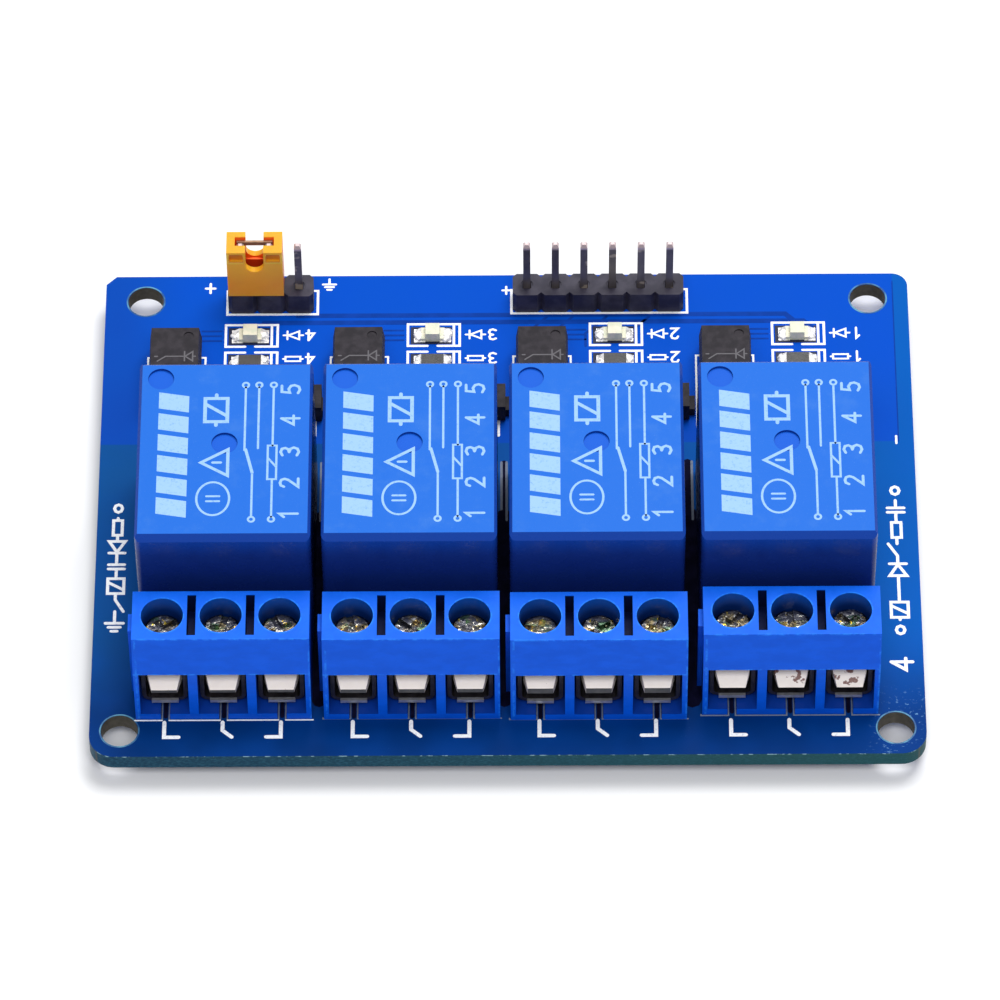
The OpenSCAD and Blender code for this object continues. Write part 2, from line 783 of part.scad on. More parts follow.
module jumper_contact() {
    clip_h = clip_high - clip_low;
    riser_w = (bridge_w - notch_w) / 2 - fit;
    color("goldenrod") translate([cap_x, header_y, cap_z]) {
        block(clip_w, clip_in, clip_low, contact_sheet, clip_h);
        block(bridge_w, clip_in, bridge_low, contact_sheet, bridge_high - bridge_low);
        for (x = [-1, 1]) {
            translate([x * (bridge_w - riser_w) / 2, 0, 0])
                block(riser_w, clip_in, clip_low, contact_sheet, bridge_high - clip_low);
            translate([x * (clip_w + contact_sheet) / 2, 0, 0])
                block(contact_sheet, -clip_out, clip_low, 2 * clip_out, clip_h);
            translate([x * (clip_w - clip_lip) / 2, 0, 0])
                block(clip_lip + 2 * eps, -clip_out, clip_low, contact_sheet, clip_h);
        }
    }
}

// ---- driver parts -----------------------------------------------------------

opto_foot = 0.3;
opto_mid = opto_foot + opto_h * 0.5;
opto_flare = 0.2;
// The dot that marks lead 1: size, and distance in from the body's corner.
dot_d = 0.9;
dot_depth = 0.12;
dot_inset = 1.1;
// How far the leads reach into the body.
lead_root = 0.6;

module opto_body() {
    flat = opto_h / 2;
    intersection() {
        along_x(opto_w) polygon([
            [opto_flare - opto_l / 2, opto_foot], [-opto_l / 2, opto_mid],
            [opto_flare - opto_l / 2, opto_mid + flat],
            [opto_l / 2 - opto_flare, opto_mid + flat],
            [opto_l / 2, opto_mid], [opto_l / 2 - opto_flare, opto_foot]
        ]);
        along_y(-opto_l / 2, opto_l) polygon([
            [opto_flare - opto_w / 2, opto_foot], [-opto_w / 2, opto_mid],
            [opto_flare - opto_w / 2, opto_mid + flat],
            [opto_w / 2 - opto_flare, opto_mid + flat],
            [opto_w / 2, opto_mid], [opto_w / 2 - opto_flare, opto_foot]
        ]);
    }
}

module optocouplers() {
    color("dimgray") for (i = [0:channels - 1]) at_driver(i, opto_dx, opto_y) difference() {
        opto_body();
        translate([opto_w / 2 - dot_inset, opto_l / 2 - dot_inset, opto_foot + opto_h - dot_depth])
            cylinder(h = 1, d = dot_d, $fn = 24);
        for (x = [-1, 1], y = [-1, 1])
            translate([x * opto_lead_pitch / 2, y * opto_l / 2, opto_mid])
                cube([opto_shoulder_w + 2 * fit, 2 * lead_root, lead_t], center = true);
    }
}

// One lead, drawn for the rear row: a wide shoulder that narrows to the pin.
module opto_lead() {
    reach = opto_row / 2 + lead_t / 2;
    root = opto_l / 2 - lead_root;
    shoulder_low = 0.6;
    block(opto_shoulder_w, root, opto_mid - lead_t / 2, reach - root, lead_t);
    block(opto_shoulder_w, reach - lead_t, shoulder_low, lead_t, opto_mid - shoulder_low);
    block(opto_lead_w, reach - lead_t, lead_end, lead_t, shoulder_low - lead_end + eps);
}

module optocoupler_leads() {
    color("silver") for (i = [0:channels - 1], x = [-1, 1], turn = [0, 180])
        at_driver(i, opto_dx + x * opto_lead_pitch / 2, opto_y) rotate([0, 0, turn]) opto_lead();
}

module indicator_leds() {
    color("ivory") for (i = [0:channels - 1]) at_driver(i, led_dx, led_y) {
        block(chip_l, -chip_w / 2, 0, chip_w, led_h * 0.4);
        along_y(-chip_w / 2, chip_w) polygon([
            [-lens_l / 2, 0], [0.08 - lens_l / 2, led_h],
            [lens_l / 2 - 0.08, led_h], [lens_l / 2, 0]
        ]);
    }
}

module chip_resistor() {
    block(chip_l, -chip_w / 2, 0, chip_w, chip_h);
    block(chip_l - 0.8, 0.1 - chip_w / 2, chip_h - eps, chip_w - 0.2, 0.06);
}

module chip_resistors() {
    color("darkslategray") for (i = [0:channels - 1]) {
        at_driver(i, led_dx, series_y) chip_resistor();
        at_driver(i, base_resistor_dx, transistor_y) rotate([0, 0, 90]) chip_resistor();
    }
}

// A bent flat lead of a small body, drawn in (Y, Z) from the body out to its foot.
module gull_lead(w, out) {
    sheet = 0.12;
    mid = transistor_h / 2;
    edge = transistor_w / 2;
    along_x(w) polygon([
        [out * (edge - 0.15), mid - sheet], [out * (edge + 0.2), mid - sheet],
        [out * (edge + 0.3), 0], [out * (edge + 0.55), 0], [out * (edge + 0.55), sheet],
        [out * (edge + 0.4), sheet], [out * (edge + 0.3), mid], [out * (edge - 0.15), mid]
    ]);
}

// A three-lead surface-mount body on bent leads.
module transistor() {
    lead_w = 0.4;
    taper = 0.1;
    edge = transistor_w / 2;
    mid = transistor_h / 2;
    along_x(transistor_l) polygon([
        [taper / 2 - edge, taper], [-edge, mid], [taper - edge, transistor_h],
        [edge - taper, transistor_h], [edge, mid], [edge - taper / 2, taper]
    ]);
    for (x = [-1, 1]) translate([x * transistor_pitch / 2, 0, 0]) gull_lead(lead_w, -1);
    gull_lead(lead_w, 1);
}

module transistors() {
    color("dimgray") for (i = [0:channels - 1])
        at_driver(i, transistor_dx, transistor_y) transistor();
}

// A moulded diode body on two leads that are folded under its ends.
module flyback_diode() {
    standoff = 0.15;
    lead_l = 0.8;
    lead_h = diode_h * 0.45;
    block(diode_l, -diode_w / 2, standoff, diode_w, diode_h - standoff);
    for (x = [-1, 1]) translate([x * (diode_l + 0.2) / 2, 0, 0])
        block(lead_l, -diode_lead_w / 2, 0, diode_lead_w, lead_h);
}

module flyback_diodes() {
    color("dimgray") for (i = [0:channels - 1])
        at_driver(i, diode_dx, diode_y) flyback_diode();
}

// ---- solder -----------------------------------------------------------------

// A cone of solder under the board around a lead of width w and thickness l.
module solder_cone(hole_r, w, l) {
    translate([0, 0, -board_t - solder_h]) difference() {
        cylinder(h = solder_h, r1 = norm([w, l]) / 2 + 0.1, r2 = hole_r + 0.4, $fn = 24);
        cube([w, l, 3 * solder_h], center = true);
    }
}

// A fillet at one end of a chip, rising towards +X.
module chip_fillet(h) {
    along_y(-chip_w / 2, chip_w) polygon([[0, 0], [0.65, 0], [0, h]]);
}

module solder_joints() {
    color("lightgray") {
        for (i = [0:channels - 1]) at_relay(i) {
            for (q = [relay_pins[0], relay_pins[3], relay_pins[4]])
                translate([q[0], q[1], 0]) solder_cone(blade_hole_r, blade_w, blade_t);
            for (q = [relay_pins[1], relay_pins[2]])
                translate([q[0], q[1], 0]) solder_cone(blade_hole_r, coil_pin_w, coil_pin_w);
        }
        at_terminal_leads() solder_cone(terminal_hole_r, terminal_pin_w, tongue_t);
        at_opto_leads() solder_cone(opto_hole_r, opto_lead_w, lead_t);
        at_header(input_header_x, input_pins) solder_cone(header_hole_r, pin_w, pin_w);
        at_header(power_header_x, power_pins) solder_cone(header_hole_r, pin_w, pin_w);
        for (i = [0:channels - 1], turn = [0, 180]) {
            at_driver(i, led_dx, led_y) rotate([0, 0, turn])
                translate([chip_l / 2, 0, 0]) chip_fillet(led_h * 0.4);
            at_driver(i, led_dx, series_y) rotate([0, 0, turn])
                translate([chip_l / 2, 0, 0]) chip_fillet(chip_h);
        }
    }
}

// ---- nodes ------------------------------------------------------------------

circuit_board();
for (i = [0:channels - 1]) {
    n = i + 1;
    relay_cover(i);
    relay_base(i);
    relay_armature(i);
    terminal_housing(i);
    for (p = [0:poles - 1]) {
        name = str(n, "_", p + 1);
        terminal_screw(i, p);
        terminal_clamp(i, p);
    }
}
relay_irons();
relay_bobbins();
relay_coils();
relay_contacts();
relay_coil_pins();
terminal_pins();
input_header_body();
input_header_pins();
power_header_body();
power_header_pins();
jumper_cap();
jumper_contact();
optocouplers();
optocoupler_leads();
indicator_leds();
chip_resistors();
transistors();
flyback_diodes();
solder_joints();
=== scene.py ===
"""Four-channel relay module board: finishes, print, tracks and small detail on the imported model."""
import json
import math
import random

import bmesh
import bpy
from mathutils import Matrix, Vector

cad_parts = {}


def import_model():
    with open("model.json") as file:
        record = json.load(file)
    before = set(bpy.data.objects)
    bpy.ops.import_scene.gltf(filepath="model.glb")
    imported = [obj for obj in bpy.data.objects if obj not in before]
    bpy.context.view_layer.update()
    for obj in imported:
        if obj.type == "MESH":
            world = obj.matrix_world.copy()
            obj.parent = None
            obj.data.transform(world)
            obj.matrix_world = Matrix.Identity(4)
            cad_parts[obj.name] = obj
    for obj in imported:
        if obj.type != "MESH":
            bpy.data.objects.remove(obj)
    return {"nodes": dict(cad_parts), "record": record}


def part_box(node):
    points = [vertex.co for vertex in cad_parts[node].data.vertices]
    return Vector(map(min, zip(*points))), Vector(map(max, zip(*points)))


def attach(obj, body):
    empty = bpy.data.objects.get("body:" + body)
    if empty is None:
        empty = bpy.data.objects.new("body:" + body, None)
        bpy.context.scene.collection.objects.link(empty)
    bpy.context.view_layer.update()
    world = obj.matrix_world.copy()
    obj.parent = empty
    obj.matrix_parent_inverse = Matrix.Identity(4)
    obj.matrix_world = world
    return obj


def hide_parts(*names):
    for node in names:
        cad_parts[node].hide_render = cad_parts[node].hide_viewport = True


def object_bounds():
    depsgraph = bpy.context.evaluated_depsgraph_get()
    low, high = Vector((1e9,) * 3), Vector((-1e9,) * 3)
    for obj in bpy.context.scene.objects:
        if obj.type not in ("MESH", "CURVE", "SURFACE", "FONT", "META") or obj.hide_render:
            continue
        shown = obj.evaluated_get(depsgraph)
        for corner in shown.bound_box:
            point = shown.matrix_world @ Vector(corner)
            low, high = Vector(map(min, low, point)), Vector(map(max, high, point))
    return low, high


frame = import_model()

CAD_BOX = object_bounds()
MM = 0.001
NODES = frame["nodes"]
SIDES = (-1, 1)


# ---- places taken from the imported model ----

def centre(name):
    """The middle of a node's box."""
    low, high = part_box(name)
    return (Vector(low) + Vector(high)) / 2


def corners(name):
    """A node's lowest and highest corners, as vectors."""
    return tuple(Vector(corner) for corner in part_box(name))


def clusters(name, gap, behind=-1.0):
    """Boxes of the solids in one node, split along X where no point lies for a gap.

    Only what lies further back than a Y counts.
    """
    points = sorted((v.co for v in NODES[name].data.vertices if v.co.y > behind), key=lambda p: p.x)
    groups = [[points[0]]]
    for before, point in zip(points, points[1:]):
        if point.x - before.x > gap:
            groups.append([])
        groups[-1].append(point)
    return [(Vector(map(min, *group)), Vector(map(max, *group))) for group in groups]


BOARD_LOW, BOARD_HIGH = corners("circuit_board")
TOP = BOARD_HIGH.z
CHANNELS = range(1, 5)
POLES = range(1, 4)
RELAY_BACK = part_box("relay_cover_1")[1][1]
RELAY_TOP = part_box("relay_cover_1")[1][2]


# ---- materials ----

class Finish:
    """One node-based material, with short calls for the nodes that it is built from."""

    def __init__(self, name, color, rough=0.5, **sockets):
        self.material = bpy.data.materials.new(name)
        self.material.use_nodes = True
        self.tree = self.material.node_tree
        self.shader = self.tree.nodes["Principled BSDF"]
        self.coords = self.tree.nodes.new("ShaderNodeTexCoord").outputs["Object"]
        self.material.diffuse_color = (*color, 1)
        self.shader.inputs["Base Color"].default_value = (*color, 1)
        self.shader.inputs["Roughness"].default_value = rough
        for socket, value in sockets.items():
            self.shader.inputs[socket.replace("_", " ")].default_value = value

    def put(self, socket, value):
        """Sets a socket to a number or colour, or links it to a node's output."""
        if isinstance(value, (int, float)):
            socket.default_value = value
        elif isinstance(value, tuple):
            socket.default_value = (*value, 1) if len(value) == 3 else value
        else:
            self.tree.links.new(value, socket)

    def noise(self, size, detail=3.0, rough=0.5, stretch=(1, 1, 1)):
        """Noise whose blotches are about size millimetres across."""
        mapping = self.tree.nodes.new("ShaderNodeMapping")
        mapping.inputs["Scale"].default_value = stretch
        self.put(mapping.inputs["Vector"], self.coords)
        node = self.tree.nodes.new("ShaderNodeTexNoise")
        node.inputs["Scale"].default_value = 1 / (size * MM)
        node.inputs["Detail"].default_value = detail
        node.inputs["Roughness"].default_value = rough
        self.put(node.inputs["Vector"], mapping.outputs["Vector"])
        return node.outputs["Fac"]

    def math(self, operation, a, b=0.0):
        """A sum on numbers or on nodes' outputs."""
        node = self.tree.nodes.new("ShaderNodeMath")
        node.operation = operation
        self.put(node.inputs[0], a)
        self.put(node.inputs[1], b)
        return node.outputs["Value"]

    def both(self, a, b):
        """The product of two numbers, or the place where two masks meet."""
        return self.math("MULTIPLY", a, b)

    def either(self, a, b):
        """The larger of two masks."""
        return self.math("MAXIMUM", a, b)

    def size(self, value):
        """A number without its sign."""
        return self.math("ABSOLUTE", value)

    def away(self, value, middle):
        """How far a value lies from a middle one."""
        return self.size(self.math("SUBTRACT", value, middle))

    def fade(self, value, start, end):
        """0 on the side of start, 1 on the side of end, smooth between them."""
        node = self.tree.nodes.new("ShaderNodeMapRange")
        node.interpolation_type = "SMOOTHSTEP"
        self.put(node.inputs["Value"], value)
        node.inputs["From Min"].default_value = start
        node.inputs["From Max"].default_value = end
        return node.outputs["Result"]

    def mix(self, factor, a, b):
        """Colour a where the factor is 0, and b where it is 1."""
        node = self.tree.nodes.new("ShaderNodeMix")
        node.data_type = "RGBA"
        self.put(node.inputs["Factor"], factor)
        self.put(node.inputs["A"], a)
        self.put(node.inputs["B"], b)
        return node.outputs["Result"]

    def place(self):
        """The X, Y and Z of a point of the surface, in metres."""
        node = self.tree.nodes.new("ShaderNodeSeparateXYZ")
        self.put(node.inputs["Vector"], self.coords)
        return node.outputs

    def share(self):
        """How far along the piece's own box a point lies, from 0 to 1 in X, Y and Z."""
        node = self.tree.nodes.new("ShaderNodeSeparateXYZ")
        self.put(node.inputs["Vector"], self.tree.nodes["Texture Coordinate"].outputs["Generated"])
        return node.outputs

    def facing(self):
        """The X, Y and Z of the surface's own normal."""
        node = self.tree.nodes.new("ShaderNodeSeparateXYZ")
        self.put(node.inputs["Vector"], self.tree.nodes["Texture Coordinate"].outputs["Normal"])
        return node.outputs

    def color(self, value):
        self.put(self.shader.inputs["Base Color"], value)

    def rough(self, value, low, high):
        """Roughness that runs from low to high with value."""
        node = self.tree.nodes.new("ShaderNodeMapRange")
        self.put(node.inputs["Value"], value)
        node.inputs["To Min"].default_value = low
        node.inputs["To Max"].default_value = high
        self.put(self.shader.inputs["Roughness"], node.outputs["Result"])

    def bump(self, height, depth, strength=0.5):
        """Bump with depth in millimetres."""
        node = self.tree.nodes.new("ShaderNodeBump")
        node.inputs["Strength"].default_value = strength
        node.inputs["Distance"].default_value = depth * MM
        self.put(node.inputs["Height"], height)
        self.put(self.shader.inputs["Normal"], node.outputs["Normal"])


# Where finishes change. The copper pour ends at an edge in front and at one on the right.
# A wall further in than HOLES_WITHIN is a hole's and not the board's own. The tongues to
# the right of FLUX_FROM_X have flux on them.
POUR_EDGE = RELAY_BACK + 3.0 * MM
POUR_RIGHT = 34.6 * MM
HOLES_WITHIN = BOARD_HIGH - Vector((0.5, 0.5, 0)) * MM
FLUX_FROM_X = centre("terminal_screw_4_2").x - 2.4 * MM


def board_mask():
    """Blue solder mask over copper behind the pour's edge and over bare laminate before it, both
    painted darker towards the left as shade.
    """
    f = Finish("board_mask", (0.0, 0.062, 0.45), 0.4, Specular_IOR_Level=0.03)
    place = f.place()
    soft, side_reach, front = 0.08 * MM, 34 * MM, BOARD_LOW.y
    behind = f.fade(place["Y"], POUR_EDGE - soft, POUR_EDGE + soft)
    inside = f.fade(place["X"], POUR_RIGHT, POUR_RIGHT - 0.1 * MM)
    covered = f.both(behind, inside)
    across = f.fade(place["X"], -side_reach, side_reach)
    deep = f.fade(place["Y"], front + 2.5 * MM, front + 14 * MM)
    # Painted shade: away from the front, the laminate on the left is darker than on the right.
    left = f.mix(deep, (0.0, 0.024, 0.13), (0.003, 0.062, 0.23))
    right = f.mix(deep, (0.0, 0.025, 0.14), (0.0, 0.086, 0.38))
    laminate = f.mix(across, left, right)
    # Painted shade: the pour grows darker towards the left edge.
    left_painted_shade = f.fade(place["X"], -27 * MM, -35 * MM)
    coated = f.mix(left_painted_shade, (0.0, 0.062, 0.46), (0.002, 0.052, 0.35))
    top = f.mix(covered, laminate, coated)
    blotches = f.fade(f.noise(6, 2), 0.3, 0.7)
    top = f.mix(f.both(blotches, 0.2), top, (0.001, 0.07, 0.4))
    specks = f.fade(f.noise(0.22, 2, 0.7), 0.74, 0.8)
    top = f.mix(f.both(specks, 0.25), top, (0.1, 0.35, 0.75))
    corner = f.both(f.fade(place["X"], 30 * MM, 34.5 * MM),
                    f.fade(place["Y"], front + 8 * MM, front + 4 * MM))
    scuffs = f.both(corner, f.fade(f.noise(0.4, 4, 0.7, (1, 1.6, 1)), 0.6, 0.66))
    top = f.mix(f.both(scuffs, 0.7), top, (0.16, 0.36, 0.6))
    flat = f.fade(f.size(f.facing()["Z"]), 0.4, 0.6)
    fibres = f.fade(f.noise(0.35, 3, 0.6, (1, 1, 3)), 0.45, 0.62)
    glass = f.mix(fibres, (0.008, 0.04, 0.075), (0.02, 0.08, 0.13))
    glass = f.mix(f.both(across, 0.6), glass, (0.016, 0.08, 0.075))
    rim = f.fade(place["Z"], TOP - 0.16 * MM, TOP - 0.02 * MM)
    chips = f.both(rim, f.fade(f.noise(0.5, 4), 0.53, 0.64))
    glass = f.mix(chips, glass, (0.28, 0.46, 0.5))
    bored = f.both(f.fade(f.size(place["X"]), HOLES_WITHIN.x, HOLES_WITHIN.x - 0.2 * MM),
                   f.fade(f.size(place["Y"]), HOLES_WITHIN.y, HOLES_WITHIN.y - 0.2 * MM))
    wall = f.mix(f.noise(0.6, 3), (0.045, 0.042, 0.035), (0.13, 0.12, 0.1))
    glass = f.mix(bored, glass, wall)
    f.color(f.mix(flat, glass, top))
    f.rough(f.noise(2.5, 3), 0.32, 0.48)
    f.bump(f.noise(0.5, 4), 0.012, 0.4)
    return f.material


def relay_plastic():
    """Matt, slightly dusty top on a darker, smoother side, whose darkness is partly the plastic's own
    colour and partly painted shade, with painted light in a band below the top.
    """
    f = Finish("relay_plastic", (0.012, 0.17, 0.78), 0.42, Specular_IOR_Level=0.12)
    normal = f.facing()
    up = f.fade(normal["Z"], 0.75, 0.95)
    height = f.place()["Z"]
    specks = f.fade(f.noise(0.12, 2, 0.7), 0.66, 0.74)
    dust = f.fade(f.noise(3.5, 4, 0.65), 0.5, 0.75)
    mark_depth, painted_light_band = 0.2 * MM, 3 * MM
    lid = f.mix(dust, (0.008, 0.118, 0.54), (0.022, 0.138, 0.54))
    lid = f.mix(f.both(specks, 0.3), lid, (0.14, 0.3, 0.66))
    sunk = f.fade(height, RELAY_TOP - mark_depth / 2, RELAY_TOP - mark_depth)
    lid = f.mix(sunk, lid, (0.003, 0.088, 0.52))
    # Painted shade: the sides are darker than the lid, partly from the plastic's own deeper blue.
    side = f.mix(f.noise(1.6, 3), (0.004, 0.017, 0.13), (0.006, 0.023, 0.16))
    # Painted light: the sides grow lighter over the last few millimetres below the top.
    side = f.mix(f.fade(height, RELAY_TOP - painted_light_band, RELAY_TOP), side, (0.004, 0.04, 0.28))
    f.color(f.mix(up, side, lid))
    dull = f.both(up, 0.6)
    f.rough(f.math("ADD", dull, f.both(f.noise(1.2, 4), 0.3)), 0.22, 0.55)
    f.bump(f.noise(0.14, 3), 0.02, 0.35)
    return f.material


# Where a terminal housing's features lie, as shares of its own box.
FRONT_EDGE = 0.166
BACK_OF_SLOTS = 0.82
TOP_OF_OPENINGS = 0.622
END_WALLS = (0.043, 0.996)
SLOTS = (0.352, 0.674)
BORES = (0.19, 0.513, 0.835)
BORE_Y = 0.503
BORE_REACH_X = 0.116
BORE_REACH_Y = 0.24


def terminal_plastic():
    """Satin moulded blue with painted shade: sides darker than tops, deep in its openings and dark in
    its bores and narrow slots.
    """
    f = Finish("terminal_plastic", (0.003, 0.11, 0.85), 0.4, Specular_IOR_Level=0.12)
    flow = f.fade(f.noise(2.2, 4, 0.6, (1, 1, 2.5)), 0.35, 0.7)
    top = f.mix(flow, (0.0, 0.1, 0.66), (0.002, 0.118, 0.74))
    # Painted shade: the sides get a darker copy of the top's blue.
    side = f.mix(flow, (0.0, 0.076, 0.58), (0.001, 0.09, 0.66))
    share = f.share()
    # Painted shade: upward faces low in the openings are darker.
    top = f.mix(f.fade(share["Z"], 0.4, 0.3), top, (0.002, 0.034, 0.27))
    normal = f.facing()
    upward = f.fade(normal["Z"], 0.5, 0.9)
    body = f.mix(upward, side, top)
    # Painted shade: the inner walls low in the openings are darker.
    inner = f.both(f.fade(normal["Y"], -0.5, -0.3), f.fade(share["Z"], 0.6, 0.55))
    inner = f.both(inner, f.fade(upward, 0.6, 0.4))
    body = f.mix(inner, body, (0.001, 0.05, 0.38))
    body = rubbed_and_highlit_edges(f, body, share, normal)
    # Painted shade in the narrow slots and in the bores, below their rims.
    slots, bores = 0.0, 0.0
    for slot in SLOTS:
        slots = f.either(slots, f.fade(f.away(share["X"], slot), 0.029, 0.026))
    for bore in BORES:
        off_x = f.both(f.math("SUBTRACT", share["X"], bore), 1 / BORE_REACH_X)
        off_y = f.both(f.math("SUBTRACT", share["Y"], BORE_Y), 1 / BORE_REACH_Y)
        off = f.math("ADD", f.both(off_x, off_x), f.both(off_y, off_y))
        bores = f.either(bores, f.fade(off, 1.16, 1.1))
    below = f.fade(share["Z"], 0.999, 0.985)
    # Paler ragged rims at the tops of the bores: partly burrs and partly a painted highlight.
    rims = f.both(bores, f.fade(share["Z"], 0.985, 0.995))
    rims = f.both(rims, f.fade(f.noise(0.6, 4, 0.7), 0.4, 0.6))
    body = f.mix(f.both(rims, 0.5), body, (0.02, 0.26, 0.95))
    slots = f.both(slots, f.both(below, f.fade(share["Z"], 0.74, 0.76)))
    slots = f.both(slots, f.both(f.fade(share["Y"], 0.19, 0.2),
                                 f.fade(share["Y"], BACK_OF_SLOTS, BACK_OF_SLOTS - 0.01)))
    bores = f.both(bores, f.both(below, f.fade(share["Z"], 0.6, 0.65)))
    # Painted shade: the bores are darkest deep down and lighter towards the top.
    deep = f.mix(f.fade(share["Z"], 0.8, 0.98), (0.001, 0.02, 0.13), (0.001, 0.075, 0.42))
    f.color(f.mix(slots, f.mix(bores, body, deep), (0.002, 0.008, 0.06)))
    f.rough(f.noise(0.9, 4), 0.32, 0.5)
    f.bump(f.noise(0.3, 4), 0.02, 0.35)
    return f.material


def rubbed_and_highlit_edges(f, body, share, normal):
    """A terminal's colour with its front edges paler, partly rubbed by handling and partly a painted
    highlight.
    """
    front_edge = f.fade(f.away(share["Y"], FRONT_EDGE), 0.016, 0.005)
    front_edge = f.both(front_edge, f.fade(share["Z"], 0.985, 0.99))
    lower_edge = f.fade(f.away(share["Z"], TOP_OF_OPENINGS), 0.012, 0.004)
    lower_edge = f.both(lower_edge, f.fade(share["Y"], 0.2, 0.18))
    # worn holds both rubbed wear and a painted highlight along the edges.
    worn = f.either(front_edge, lower_edge)
    for wall in END_WALLS:
        near = f.fade(f.away(share["X"], wall), 0.009, 0.003)
        worn = f.either(worn, f.both(near, f.fade(normal["Y"], -0.5, -0.9)))
    worn = f.both(worn, f.fade(f.noise(0.7, 4, 0.7), 0.42, 0.62))
    return f.mix(f.both(worn, 0.5), body, (0.02, 0.24, 0.9))


def plain_plastic(name, dark, light, rough, shine=0.5, grain=0.25, depth=0.015):
    """Moulded plastic that varies gently between two colours."""
    f = Finish(name, dark, rough, Specular_IOR_Level=shine)
    f.color(f.mix(f.fade(f.noise(grain * 5, 4), 0.35, 0.7), dark, light))
    f.rough(f.noise(grain * 3, 3), rough - 0.08, rough + 0.1)
    f.bump(f.noise(grain, 3), depth, 0.4)
    return f.material


def metal(name, dark, light, rough, grain=0.4, depth=0.01):
    """Plated metal with faint handling marks."""
    f = Finish(name, light, rough, Metallic=1.0)
    f.color(f.mix(f.fade(f.noise(grain * 2, 4, 0.6), 0.3, 0.7), dark, light))
    f.rough(f.noise(grain, 4, 0.6), rough - 0.08, rough + 0.14)
    f.bump(f.noise(grain * 0.5, 4, 0.6), depth, 0.4)
    return f.material


def screw_steel():
    """Dulled zinc plating, tinted yellow and green, with bright white and gold glints painted into its
    colour.
    """
    f = Finish("screw_steel", (0.3, 0.3, 0.3), 0.25, Metallic=1.0)
    tint = f.mix(f.fade(f.noise(1.3, 3), 0.5, 0.62), (0.13, 0.13, 0.14), (0.24, 0.19, 0.1))
    tint = f.mix(f.fade(f.noise(1.9, 2, 0.5, (1, 1.7, 1)), 0.52, 0.64), tint, (0.1, 0.17, 0.1))
    # Painted glints: pale spots painted into the colour.
    glints = f.fade(f.noise(0.55, 3, 0.6, (1, 1.5, 1)), 0.58, 0.64)
    tint = f.mix(glints, tint, (0.95, 0.9, 0.72))
    # Painted glints in gold.
    tint = f.mix(f.fade(f.noise(0.7, 2, 0.5, (1.6, 1, 1)), 0.66, 0.72), tint, (0.8, 0.55, 0.06))
    f.color(tint)
    f.rough(f.noise(0.6, 3), 0.12, 0.34)
    f.bump(f.noise(0.4, 3), 0.05, 0.7)
    return f.material


def tongue_alloy():
    """Tin with a dull shine, painted dark on its front as shade, and with brown flux on the two
    rightmost tongues.
    """
    f = Finish("tongue_alloy", (0.9, 0.85, 0.82), 0.42, Metallic=0.05)
    plate = f.mix(f.noise(0.8, 4), (0.7, 0.63, 0.58), (0.8, 0.73, 0.68))
    # Painted shade: the front faces are dark.
    front = f.fade(f.facing()["Y"], -0.7, -0.9)
    plate = f.mix(front, plate, f.mix(f.noise(0.6, 3), (0.02, 0.02, 0.022), (0.1, 0.1, 0.1)))
    fluxed = f.fade(f.place()["X"], FLUX_FROM_X, FLUX_FROM_X + 0.1 * MM)
    few = f.fade(f.noise(0.4, 4, 0.7), 0.66, 0.7)
    few = f.both(few, f.fade(f.noise(6, 1), 0.52, 0.58))
    many = f.both(f.fade(f.noise(1.0, 3, 0.6), 0.54, 0.58), fluxed)
    f.color(f.mix(f.either(few, many), plate, (0.13, 0.045, 0.035)))
    f.rough(f.noise(0.4, 4), 0.34, 0.55)
    f.bump(f.noise(0.3, 4), 0.02, 0.4)
    return f.material


def clamp_steel():
    """Dark plated steel, its darkness partly painted shade, with a painted highlight on the lip below
    the wire.
    """
    f = Finish("clamp_steel", (0.05, 0.05, 0.055), 0.34, Metallic=0.9)
    foremost = f.fade(f.share()["Y"], 0.06, 0.05)
    # Partly painted shade: the body is darker.
    body = f.mix(f.noise(0.6, 4), (0.02, 0.018, 0.02), (0.12, 0.11, 0.12))
    # Painted highlight: the foremost lip is lighter.
    lip = f.mix(f.noise(0.5, 4), (0.35, 0.36, 0.39), (0.75, 0.77, 0.8))
    f.color(f.mix(foremost, body, lip))
    f.rough(f.noise(0.4, 4, 0.6, (1, 4, 1)), 0.24, 0.45)
    f.bump(f.noise(0.25, 4), 0.02, 0.4)
    return f.material


WIRE_PITCH = 0.12 * MM


def coil_wire():
    """Enamelled copper wire in close turns."""
    f = Finish("coil_wire", (0.5, 0.16, 0.05), 0.3, Metallic=0.8)
    wave = f.tree.nodes.new("ShaderNodeTexWave")
    wave.bands_direction = "Z"
    wave.inputs["Scale"].default_value = 0.5 / WIRE_PITCH
    wave.inputs["Distortion"].default_value = 0.6
    f.put(wave.inputs["Vector"], f.coords)
    f.color(f.mix(wave.outputs["Fac"], (0.22, 0.06, 0.02), (0.62, 0.22, 0.08)))
    f.rough(f.noise(0.5, 2), 0.22, 0.4)
    f.bump(wave.outputs["Fac"], 0.05, 0.8)
    return f.material


def header_pin():
    """Dark tinned brass, pale at its cut tip."""
    f = Finish("header_pin", (0.2, 0.18, 0.18), 0.3, Metallic=0.3)
    height = f.share()["Z"]
    shaft = f.mix(f.noise(0.7, 3, 0.5, (1, 1, 0.5)), (0.06, 0.052, 0.05), (0.17, 0.145, 0.145))
    shaft = f.mix(f.fade(f.noise(1.6, 2), 0.6, 0.66), shaft, (0.4, 0.33, 0.26))
    f.color(f.mix(f.fade(height, 0.945, 0.965), shaft, (0.56, 0.44, 0.44)))
    f.rough(f.noise(0.5, 4, 0.6, (3, 3, 1)), 0.22, 0.42)
    f.bump(f.noise(0.25, 4, 0.6, (3, 3, 1)), 0.01, 0.4)
    return f.material


